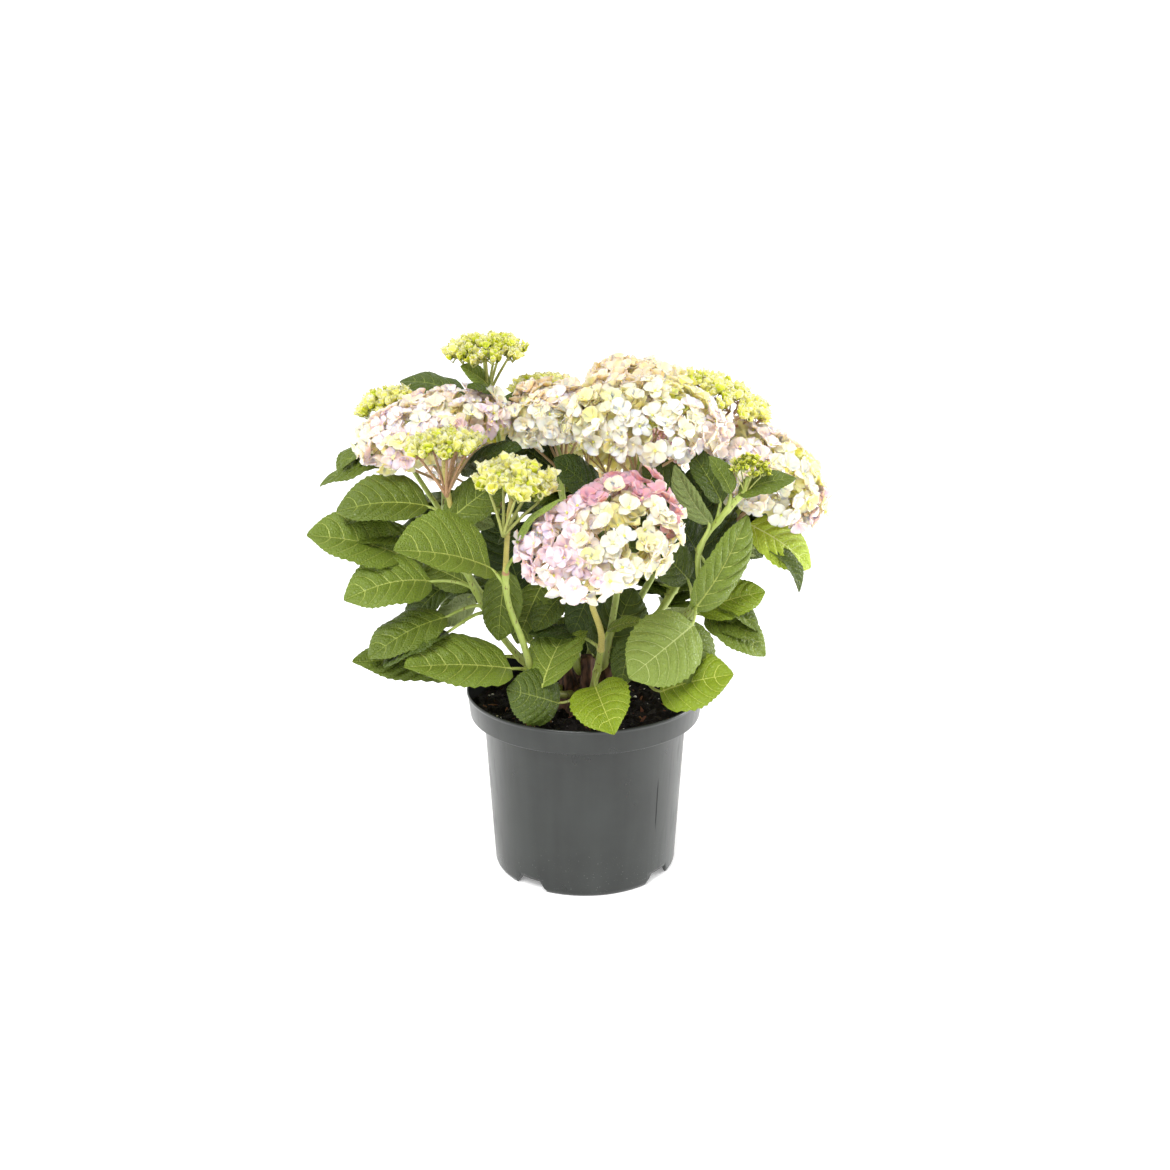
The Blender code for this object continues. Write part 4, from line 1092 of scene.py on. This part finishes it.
def fork_paths(starts, ends, lift, stations):
    """Curves that leave their starts along lift and bend out to their ends."""
    t = np.linspace(0, 1, stations)[:, None]
    knee = starts + (ends - starts) * 0.35 + lift
    return starts[:, None] * (1 - t) ** 2 + knee[:, None] * 2 * t * (1 - t) + ends[:, None] * t**2


def corymb(head, branch_ends, flowers, chance):
    """The forked stalks of one head: rays from its stem, a branch to each of branch_ends from the nearest
    ray, and a fine stalk to each flower from the nearest branch."""
    middle, facing, radius, half_height = HEADS[head]
    kind = "bloom" if "bloom" in head else "buds"
    axes, sizes = head_frame(facing), np.array([radius, radius, half_height])
    scale = min(1.0, radius / 0.040)
    seat = np.array(middle) - axes[2] * half_height * STEM_SEAT
    fork = seat - axes[2] * RAY_DROP[kind] * scale
    ray_ways = dome(RAYS[kind], RAYS_REACH_DEG, chance, 0.06)
    ray_ends = np.array(middle) + (ray_ways * sizes * [RAY_SPREAD, RAY_SPREAD, 0.0]) @ axes
    ray_ends -= axes[2] * half_height * RAY_SINK
    nearest_ray = np.linalg.norm(branch_ends[:, None] - ray_ends, axis=2).argmin(axis=1)
    nearest_branch = np.linalg.norm(flowers[:, None] - branch_ends, axis=2).argmin(axis=1)
    forks = np.repeat(fork[None], len(ray_ends), 0)
    rods = (
        (forks, ray_ends, 0.003, RAY_POINTS, (1.30, 0.85), RAY_RADIUS * scale),
        (ray_ends[nearest_ray], branch_ends, 0.003, BRANCH_POINTS, (1.1, 0.8), BRANCH_RADIUS * scale),
        (branch_ends[nearest_branch], flowers, 0.001, PEDICEL_POINTS, (1.1, 0.9), PEDICEL_RADIUS),
    )
    return [
        tubes(fork_paths(starts, ends, axes[2] * lift, count), np.linspace(*taper, count) * thick, count)[:2]
        for starts, ends, lift, count, taper, thick in rods
    ]


# ---- open flowers ----
# Each open head is a dome of sterile flowers. A flower is four broad, softly cupped sepals round a small
# closed eye, cream and lemon when young, and flushed peach, pink or rose as it ages.

SEPAL_ROWS = np.array([0.0, 0.16, 0.42, 0.70, 0.91, 1.0])[:, None]
SEPAL_COLUMNS = np.array([-1.0, -0.55, 0.0, 0.55, 1.0])
SEPAL_EYE, SEPAL_RIM = 0.15, 0.72
SEPAL_THICK = 0.00028
SEPAL_BLUNT, BUD_BLUNT = 3.4, 1.6
SPOON, RUFFLE = 1.1, 0.09


def sepals(middles, facing, length, opening, spin, bend, width, rows, columns, blunt):
    """Four sepals round each middle, as (flower, point, 3). Each is a sheet of two skins that meet at its
    edge: it leaves the middle at its opening angle from the facing direction, bends inward by bend radians
    along its length, is hollowed across like a spoon, and is ruffled towards its rim."""
    count = len(middles)
    helper = np.where(np.abs(facing[:, 2:]) < 0.9, [[0.0, 0.0, 1.0]], [[1.0, 0.0, 0.0]])
    across = unit(np.cross(helper, facing))
    beyond = np.cross(facing, across)
    turn = spin[:, None] + np.arange(4) * math.pi / 2
    out = across[:, None] * np.cos(turn)[..., None] + beyond[:, None] * np.sin(turn)[..., None]
    side = np.cross(facing[:, None], out)
    half = 0.74 * width[:, :, None, None] * rows**0.60 * np.maximum(1 - rows**blunt, 0) ** 0.55
    lean = np.radians(opening)[:, :, None, None]
    turned = bend[:, :, None, None]
    hollow = SPOON * (half * columns) ** 2
    hollow = hollow + RUFFLE * rows**2 * np.sin(2.6 * columns + 5 * turned + turn[:, :, None, None])
    along = np.sin(lean) * rows - np.cos(lean) * (turned * rows**2 / 2 + hollow)
    height = np.cos(lean) * rows + np.sin(lean) * (turned * rows**2 / 2 + hollow)
    size = length[:, :, None, None, None]
    sheet = middles[:, None, None, None] + size * (
        along[..., None] * out[:, :, None, None]
        + (half * columns)[..., None] * side[:, :, None, None]
        + height[..., None] * facing[:, None, None, None]
    )
    inside = (np.abs(columns) < 1) & (rows > 0) & (rows < 1)
    outward, downward = out[:, :, None, None], facing[:, None, None, None]
    skin = np.cos(lean)[..., None] * outward - np.sin(lean)[..., None] * downward
    back = sheet + (inside * SEPAL_THICK)[..., None] * skin
    return np.stack([sheet, back], 2).reshape(count, -1, 3)


def sepal_cells(rows, columns, eye, rim):
    """The triangles of one flower's four sepals, and the zone of each: 0 by the eye, 2 at the rim and 1
    between."""
    one, points = lattice(len(rows), len(columns)), len(rows) * len(columns)
    zone = np.repeat(np.digitize(rows[:-1, 0], [eye, rim]), 2 * (len(columns) - 1))
    both = np.concatenate([one[:, ::-1], one + points])
    return repeated(both, 4, 2 * points), np.tile(np.concatenate([zone, zone]), 4)


def eyes(middles, size):
    """A small closed bud at each middle: a ball of two rings of six points and two tips."""
    turns = np.arange(6) * math.pi / 3
    rings = [(0.86 * math.cos(turn), 0.86 * math.sin(turn), level) for level in (-0.5, 0.5) for turn in turns]
    shape = np.array([(0.0, 0.0, -1.0), *rings, (0.0, 0.0, 1.0)])
    j = np.arange(6)
    low = np.stack([0 * j, 1 + (j + 1) % 6, 1 + j], -1)
    high = np.stack([0 * j + 13, 7 + j, 7 + (j + 1) % 6], -1)
    cells = np.concatenate([low, lattice(2, 6, wrap=True) + 1, high])
    points = middles[:, None] + shape * np.broadcast_to(size, len(middles))[:, None, None]
    return points, repeated(cells, len(middles), len(shape)), len(cells)


PETAL_TINTS = {
    "white": "FAF1D8",
    "cream": "F8ECC6",
    "lemon": "F5E8A6",
    "peach": "F4D8B8",
    "beige": "E9CDA4",
    "blush": "FAE1D6",
    "pink": "F4D0D4",
    "rose": "D39BA9",
    "lime": "D9DC78",
}
PETAL_GLOW = {"Subsurface_Weight": 1.0, "Subsurface_Radius": (1.0, 0.8, 0.45), "Subsurface_Scale": 0.0012}


def petal_skin():
    """The skin of a sepal: fine veins that show as a soft relief."""
    group, place, out = finish_group("petal_skin", colour=False)
    veins = noise(group, place, 900.0, 2.0)
    group.links.new(ranged(group, veins, 0.3, 0.7, 0.50, 0.62), out.inputs["Roughness"])
    group.links.new(relief(group, veins, 0.3, 0.0003), out.inputs["Normal"])
    return group


petal_grain = petal_skin()
petal_finishes = [
    new_material(f"sepal_{tint}", tone(code), 0.55, petal_grain, **PETAL_GLOW)
    for tint, code in PETAL_TINTS.items()
]
petal_number = {tint: number for number, tint in enumerate(PETAL_TINTS)}

# Each open head: its number of flowers, how full it stands as a share of its solid, and where on it each tint
# lies, as a direction and a strength.
BLOOMS = {
    "head_bloom_left": (175, 0.72, [
        ("pink", (-0.6, -0.6, -0.5), 0.8),
        ("blush", (-0.4, -0.5, 0.5), 1.2),
        ("cream", (0.3, -0.3, 0.8), 1.0),
        ("cream", (1.0, -0.4, -0.3), 0.9),
        ("pink", (0.9, -0.5, -0.4), 0.9),
        ("rose", (0.9, -0.5, -0.7), 0.8),
        ("blush", (0.6, 0.0, 0.7), 1.1),
        ("peach", (0.2, -0.2, 1.0), 0.9),
        ("pink", (-0.5, 0.0, 0.7), 0.8),
        ("cream", (-0.7, -0.3, 0.1), 0.8),
        ("lemon", (-0.2, -0.9, 0.0), 0.7),
    ]),
    "head_bloom_middle": (185, 1.00, [
        ("lemon", (-0.3, -0.6, 0.4), 0.9),
        ("cream", (0.3, -0.6, 0.5), 1.2),
        ("cream", (-0.3, -0.3, 0.8), 1.1),
        ("lemon", (0.8, -0.1, 0.4), 0.9),
        ("peach", (-0.2, 0.2, 0.9), 1.0),
        ("blush", (0.9, -0.5, -0.4), 1.0),
        ("white", (0.0, -0.9, -0.3), 1.2),
    ]),
    "head_bloom_middle_left": (124, 1.00, [
        ("peach", (-0.3, 0.0, 0.9), 1.1),
        ("blush", (0.2, -0.2, 0.8), 1.0),
        ("white", (0.0, -0.9, -0.3), 1.2),
        ("cream", (-0.7, -0.5, -0.2), 1.1),
        ("peach", (-0.8, 0.0, 0.5), 0.9),
        ("beige", (0.5, 0.5, 0.5), 0.9),
    ]),
    "head_bloom_middle_back": (104, 1.00, [
        ("beige", (0.0, -0.3, 0.8), 1.1),
        ("peach", (-0.5, -0.2, 0.5), 1.1),
        ("cream", (0.6, -0.2, 0.5), 1.0),
        ("blush", (0.0, 0.8, 0.3), 1.0),
    ]),
    "head_bloom_right": (165, 0.92, [
        ("blush", (-0.3, -0.2, 0.9), 1.1),
        ("blush", (-0.5, -0.8, 0.0), 1.1),
        ("lemon", (0.9, -0.2, 0.3), 1.1),
        ("white", (-0.1, -0.9, -0.5), 1.2),
        ("cream", (0.3, -0.8, 0.3), 0.9),
        ("pink", (0.6, -0.6, -0.6), 0.9),
    ]),
    "head_bloom_front": (195, 0.84, [
        ("pink", (-0.7, -0.4, 0.4), 1.2),
        ("rose", (0.5, 0.3, 0.9), 1.0),
        ("cream", (0.5, -0.8, 0.1), 1.2),
        ("white", (0.2, -0.8, -0.6), 1.2),
        ("lemon", (0.2, -0.9, 0.1), 0.8),
        ("cream", (0.3, -0.4, 0.7), 0.9),
        ("pink", (-0.8, -0.5, -0.3), 1.1),
    ]),
    "head_bloom_back_left": (135, 0.90, [
        ("pink", (-0.5, 0.6, 0.3), 1.1),
        ("cream", (0.5, 0.5, 0.5), 1.1),
        ("blush", (0.0, 0.8, -0.3), 1.0),
        ("lemon", (-0.2, 0.1, 1.0), 0.9),
    ]),
    "head_bloom_back": (160, 0.90, [
        ("lemon", (-0.4, 0.5, 0.6), 1.1),
        ("pink", (0.6, 0.6, 0.2), 1.1),
        ("cream", (0.0, 0.8, 0.2), 1.1),
        ("rose", (0.8, 0.3, 0.6), 0.9),
        ("peach", (0.0, 0.9, -0.5), 1.0),
    ]),
}
# The tint by a flower's eye, and the one that may edge its sepals.
EYE_TINTS = dict(
    white="cream", cream="lemon", lemon="lime", peach="cream", beige="cream",
    blush="cream", pink="blush", rose="pink", lime="lime",
)
RIM_TINTS = dict(
    white="blush", cream="blush", lemon="cream", peach="blush", beige="blush",
    blush="pink", pink="blush", rose="rose", lime="lemon",
)
# The tint of the flowers that lie deeper in a head, where they are younger. It is also painted shade: these
# yellower, warmer tints paint the warm colour that the shade takes between the flowers.
UNDER_TINTS = dict(
    white="lemon", cream="lemon", lemon="lime", peach="lemon", beige="peach",
    blush="lemon", pink="blush", rose="pink",
)
RIMMED_SHARE, LIME_EYED_SHARE = 0.45, 0.6
SEPAL_LENGTH, SEPAL_WIDTH = (0.0096, 0.0124), (0.92, 1.14)
SEPAL_OPENING_DEG, SEPAL_BEND = (44, 78), (-0.9, 0.5)
# The share of the flowers that lie deeper, and how deep those and the others lie.
UNDER_LAYER, UNDER_DEPTH, OUTER_DEPTH = 0.32, (0.66, 0.80), (0.90, 1.04)
# How far down its sides a head bears flowers, how unevenly they face, and how far a tint reaches past its
# own part of the head.
BLOOM_REACH_DEG, FLOWER_SCATTER, TINT_SCATTER = 108, 0.40, 0.34
BLOOM_BRANCHES, BRANCHES_REACH_DEG = 24, 88
EYE_RADIUS, EYE_LIFT = 0.0013, 0.0012

# A head that is flatter on one side: the way that side looks, and how far from the middle it lies.
SHOULDERS = {"head_bloom_front": ((-0.56, 0.25, 0.79), 0.029)}
SHOULDER_GIVE = 0.85

open_stalks = []
petal_cells, petal_zone = sepal_cells(SEPAL_ROWS, SEPAL_COLUMNS, SEPAL_EYE, SEPAL_RIM)
for seed, (head, (count, full, tints)) in enumerate(BLOOMS.items(), 500):
    chance = np.random.default_rng(seed)
    middle, facing, radius, half_height = HEADS[head]
    axes, sizes = head_frame(facing), np.array([radius, radius * (1 + full) / 2, half_height * full])
    inset = np.array([0.4, 0.4, 0.5]) * SEPAL_LENGTH[1]
    ways = dome(count, BLOOM_REACH_DEG, chance, 0.05)
    under = chance.random(count) < UNDER_LAYER
    depth = np.where(under, chance.uniform(*UNDER_DEPTH, count), chance.uniform(*OUTER_DEPTH, count))
    depth *= 1 + 0.06 * rumple(ways, 0.8, seed)
    middles = np.array(middle) + (ways * (sizes - inset) * depth[:, None]) @ axes
    if head in SHOULDERS:
        way, distance = SHOULDERS[head]
        beyond = np.maximum((middles - middle) @ unit(way) - distance, 0)
        middles -= SHOULDER_GIVE * beyond[:, None] * unit(way)
    facings = (ways / sizes) @ axes * radius * 0.8 + ways @ axes * 0.5
    facings = unit(facings + chance.normal(0, FLOWER_SCATTER, (count, 3)))
    world_ways = unit(middles - np.array(middle))
    scores = np.stack([world_ways @ unit(way) * 1.4 + strength for _, way, strength in tints], -1)
    chosen = np.argmax(scores + chance.normal(0, TINT_SCATTER, scores.shape), axis=1)
    names = [tints[number][0] for number in chosen]
    # Deeper flowers take their under tint, partly painted shade between the flowers.
    names = [UNDER_TINTS[name] if deeper else name for name, deeper in zip(names, under)]
    rimmed = chance.random(count) < RIMMED_SHARE
    rims = [RIM_TINTS[name] if edged else name for name, edged in zip(names, rimmed)]
    zones = [(EYE_TINTS[name], name, rim) for name, rim in zip(names, rims)]
    zones = np.array([[petal_number[tint] for tint in zone] for zone in zones])
    each = (count, 4)
    petals = sepals(
        middles,
        facings,
        chance.uniform(*SEPAL_LENGTH, (count, 1)) * chance.uniform(0.88, 1.10, each),
        chance.uniform(*SEPAL_OPENING_DEG, (count, 1)) + chance.normal(0, 7, each),
        chance.uniform(0, math.pi / 2, count),
        chance.uniform(*SEPAL_BEND, each),
        chance.uniform(*SEPAL_WIDTH, each),
        SEPAL_ROWS,
        SEPAL_COLUMNS,
        SEPAL_BLUNT,
    )
    buttons, button_cells, button_each = eyes(middles + facings * EYE_LIFT, EYE_RADIUS)
    lime_eyed = chance.random(count) < LIME_EYED_SHARE
    eye_tint = np.where(lime_eyed, petal_number["lime"], petal_number["lemon"])
    piece = mesh_piece(
        head.replace("head_bloom", "flowers"),
        *joined((petals, repeated(petal_cells, count, petals.shape[1])), (buttons, button_cells)),
        petal_finishes,
        np.concatenate([zones[:, petal_zone].ravel(), np.repeat(eye_tint, button_each)]),
    )
    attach(piece, "root")
    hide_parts(head)
    branch_ways = dome(BLOOM_BRANCHES, BRANCHES_REACH_DEG, chance, 0.08)
    branch_ends = np.array(middle) + (branch_ways * sizes * [0.74, 0.74, 0.35]) @ axes
    open_stalks += corymb(head, branch_ends, middles, chance)

head_stalks = mesh_piece(
    "flower_stalks",
    *joined(*open_stalks),
    [new_material("stalk_tan", tone("BFA078"), 0.5, leaf_grain)],
)
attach(head_stalks, "root")

# ---- buds ----
# The young heads are flat domes of unopened flowers in small clumps, one to each branch of the stalk: tight
# cups of four pointed sepals, yellow green with paler tips, and round green buds among them. The cups'
# greener bases, the darkest tint and the darker round buds are partly their own green and partly painted
# shade in the clumps.

BUD_ROWS = np.array([0.0, 0.30, 0.55, 0.80, 1.0])[:, None]
BUD_COLUMNS = np.array([-1.0, 0.0, 1.0])
BUD_EYE, BUD_RIM = 0.30, 0.80
CUP_OPENING_DEG, CUP_BEND, CUP_WIDTH = (8, 28), (-0.5, 0.3), (0.62, 0.84)
# The dark tint is partly the buds' own green and partly painted shade, for the shade between the clumps.
BUD_TINTS = {"pale": "FAF7B8", "yellow": "F2ED84", "green": "C6CF34", "dark": "6A760A"}
BUD_GLOW = {"Subsurface_Weight": 0.8, "Subsurface_Radius": (1.0, 0.9, 0.3), "Subsurface_Scale": 0.0015}
# How far down its sides a young head bears clumps and a clump bears cups, and how far apart clumps stand.
CLUMPS_REACH_DEG, CUPS_REACH_DEG, CLUMP_SPACING = 90, 95, 1.75
# Each young head: its number of clumps, the cups in each, the length of a cup's sepals, how green it is from
# 0 to 1, how tall it stands as a share of its solid, and the tint of its stalks.
YOUNG = {
    "head_buds_top": (30, 4, 0.0104, 0.05, 0.75, "green"),
    "head_buds_left": (26, 4, 0.0122, -0.15, 0.45, "tan"),
    "head_buds_far_left": (20, 4, 0.0108, -0.30, 0.80, "green"),
    "head_buds_front": (26, 3, 0.0150, -0.35, 0.70, "green"),
    "head_buds_middle": (22, 4, 0.0108, -0.25, 0.70, "green"),
    "head_buds_right": (32, 4, 0.0110, -0.40, 0.60, "tan"),
    "head_buds_small": (14, 5, 0.0060, 0.45, 0.90, "green"),
    "head_buds_back_right": (26, 4, 0.0110, 0.05, 0.80, "green"),
}
bud_finishes = [
    new_material(f"bud_{tint}", tone(code), 0.5, petal_grain, **BUD_GLOW) for tint, code in BUD_TINTS.items()
]
bud_cells, bud_zone = sepal_cells(BUD_ROWS, BUD_COLUMNS, BUD_EYE, BUD_RIM)
young_stalks = {"green": [], "tan": []}
for seed, (head, (clumps, cups_each, length, green, tall, stalk)) in enumerate(YOUNG.items(), 700):
    chance = np.random.default_rng(seed)
    middle, facing, radius, half_height = HEADS[head]
    axes = head_frame(facing)
    sizes = np.array([radius - length * 0.72, radius - length * 0.72, half_height * tall])
    seat = np.array(middle) - axes[2] * length * 0.75
    clump_ways = dome(clumps, CLUMPS_REACH_DEG, chance, 0.06)
    clump_middles = seat + (clump_ways * sizes * chance.uniform(0.86, 1.0, (clumps, 1))) @ axes
    clump_out = unit((clump_ways / sizes) @ axes * radius * 0.35 + axes[2])
    count = clumps * cups_each
    spread = CLUMP_SPACING * radius / math.sqrt(clumps)
    owner = np.repeat(np.arange(clumps), cups_each)
    splay = np.tile(dome(cups_each, CUPS_REACH_DEG, chance, 0.0), (clumps, 1))
    splay = splay + chance.normal(0, 0.20, (count, 3))
    splay = unit(splay @ axes + clump_out[owner] * 0.2)
    reach = chance.uniform(0.75, 1.15, (count, 1))
    middles = clump_middles[owner] + splay * spread * [0.50, 0.50, 0.36] * reach
    facings = unit(splay * 0.60 + clump_out[owner] + chance.normal(0, 0.14, (count, 3)))
    each = (count, 4)
    cups = sepals(
        middles - facings * length * 0.4,
        facings,
        length * chance.uniform(0.72, 1.15, (count, 1)) * chance.uniform(0.88, 1.1, each),
        chance.uniform(*CUP_OPENING_DEG, (count, 1)) + chance.normal(0, 4, each),
        chance.uniform(0, math.pi / 2, count),
        chance.uniform(*CUP_BEND, each),
        chance.uniform(*CUP_WIDTH, each),
        BUD_ROWS,
        BUD_COLUMNS,
        BUD_BLUNT,
    )
    base_tint = np.digitize(chance.random(count) + green, [0.50, 1.05]) + 1
    # By its eye each cup takes the next darker tint, partly painted shade down in its clump, and at its rim
    # the next paler.
    zones = np.stack([np.minimum(base_tint + 1, 3), base_tint, base_tint - 1], -1)
    small = clump_middles[owner] + splay * spread * chance.uniform(0.1, 0.45, (count, 1))
    balls, ball_cells, ball_each = eyes(small, length * chance.uniform(0.20, 0.30, count))
    ball_tint = np.digitize(chance.random(count) + green, [0.05, 0.55]) + 1
    piece = mesh_piece(
        head.replace("head_buds", "buds"),
        *joined((cups, repeated(bud_cells, count, cups.shape[1])), (balls, ball_cells)),
        bud_finishes,
        np.concatenate([zones[:, bud_zone].ravel(), np.repeat(ball_tint, ball_each)]),
    )
    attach(piece, "root")
    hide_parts(head)
    young_stalks[stalk] += corymb(
        head, clump_middles - clump_out * spread * 0.4, middles - facings * length * 0.4, chance
    )

for tint, code in (("green", "B2B768"), ("tan", "B08A66")):
    finish = new_material(f"bud_stalk_{tint}", tone(code), 0.5, leaf_grain)
    piece = mesh_piece(f"bud_stalks_{tint}", *joined(*young_stalks[tint]), [finish])
    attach(piece, "root")

# ---- floor, lights and camera ----
# The pot stands on a wide white floor in an evenly lit white studio, with one large soft light from the
# upper left of the front and a weak panel at each side.

FLOOR_RADIUS, FLOOR_Z, FLOOR_STEPS = 8.0, -0.0003, 96
FLOOR_GREY, WHITE = (0.90, 0.90, 0.90, 1.0), (1.0, 1.0, 1.0, 1.0)
CAMERA_DISTANCE, CAMERA_PITCH_DEG, AIM_Z = 1.6, 17.81, 0.2778
CAMERA_LENS, SENSOR_WIDTH = 52.84, 36.0

step = np.arange(FLOOR_STEPS)
turn = step * 2 * math.pi / FLOOR_STEPS
rim = np.stack([FLOOR_RADIUS * np.cos(turn), FLOOR_RADIUS * np.sin(turn), 0 * turn + FLOOR_Z], -1)
floor = mesh_piece(
    "studio_floor",
    np.concatenate([[(0.0, 0.0, FLOOR_Z)], rim]),
    np.stack([0 * step, 1 + step, 1 + (step + 1) % FLOOR_STEPS], -1),
    [new_material("floor_white", FLOOR_GREY, 0.8, Emission_Color=WHITE, Emission_Strength=0.25)],
)
floor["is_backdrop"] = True

# The studio's walls are brightest low down, where they meet the floor, and darker overhead.
WALL_LIGHT, OVERHEAD_LIGHT, WALL_TOP, OVERHEAD = 1.14, 0.95, 0.10, 0.45
world = bpy.data.worlds.new("studio")
bpy.context.scene.world = world
world.use_nodes = True
sky = world.node_tree
height = sky.nodes.new("ShaderNodeSeparateXYZ")
sky.links.new(sky.nodes.new("ShaderNodeTexCoord").outputs["Generated"], height.inputs[0])
dimming = sky.nodes.new("ShaderNodeMapRange")
dimming.interpolation_type = "SMOOTHSTEP"
for label, value in (
    ("From Min", WALL_TOP),
    ("From Max", OVERHEAD),
    ("To Min", WALL_LIGHT),
    ("To Max", OVERHEAD_LIGHT),
):
    dimming.inputs[label].default_value = value
sky.links.new(height.outputs["Z"], dimming.inputs["Value"])
sky.nodes["Background"].inputs["Color"].default_value = WHITE
sky.links.new(dimming.outputs["Result"], sky.nodes["Background"].inputs["Strength"])


def lamp_at(light, place, aim):
    """A lamp at one point, turned to another."""
    lamp = bpy.data.objects.new(light.name, light)
    lamp.location = place
    lamp.visible_camera = False
    back = unit(np.array(place) - np.array(aim))
    lamp.rotation_euler = (math.acos(back[2]), 0.0, math.atan2(back[1], back[0]) + math.pi / 2)
    bpy.context.scene.collection.objects.link(lamp)


key = bpy.data.lights.new("key_light", "SUN")
key.energy, key.angle = 2.6, math.radians(26)
lamp_at(key, (-0.6, -1.8, 2.4), (0.0, 0.0, 0.3))
for name, place, power in (("right_panel", (1.3, 0.30, 0.30), 17.0), ("left_panel", (-1.4, 0.1, 0.30), 5.0)):
    panel = bpy.data.lights.new(name, "AREA")
    panel.shape, panel.size, panel.size_y, panel.energy = "RECTANGLE", 0.30, 1.0, power
    lamp_at(panel, place, (0.0, 0.0, 0.25))

pitch = math.radians(CAMERA_PITCH_DEG)
camera = bpy.data.objects.new("camera", bpy.data.cameras.new("camera"))
camera.data.lens, camera.data.sensor_width = CAMERA_LENS, SENSOR_WIDTH
camera.location = (0.0, -CAMERA_DISTANCE * math.cos(pitch), AIM_Z + CAMERA_DISTANCE * math.sin(pitch))
camera.rotation_euler = (math.pi / 2 - pitch, 0.0, 0.0)
bpy.context.scene.collection.objects.link(camera)
bpy.context.scene.camera = camera
bpy.context.scene.view_settings.view_transform = "Standard"

boxes = [[[float(number) for number in corner] for corner in box] for box in (cad_box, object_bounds())]
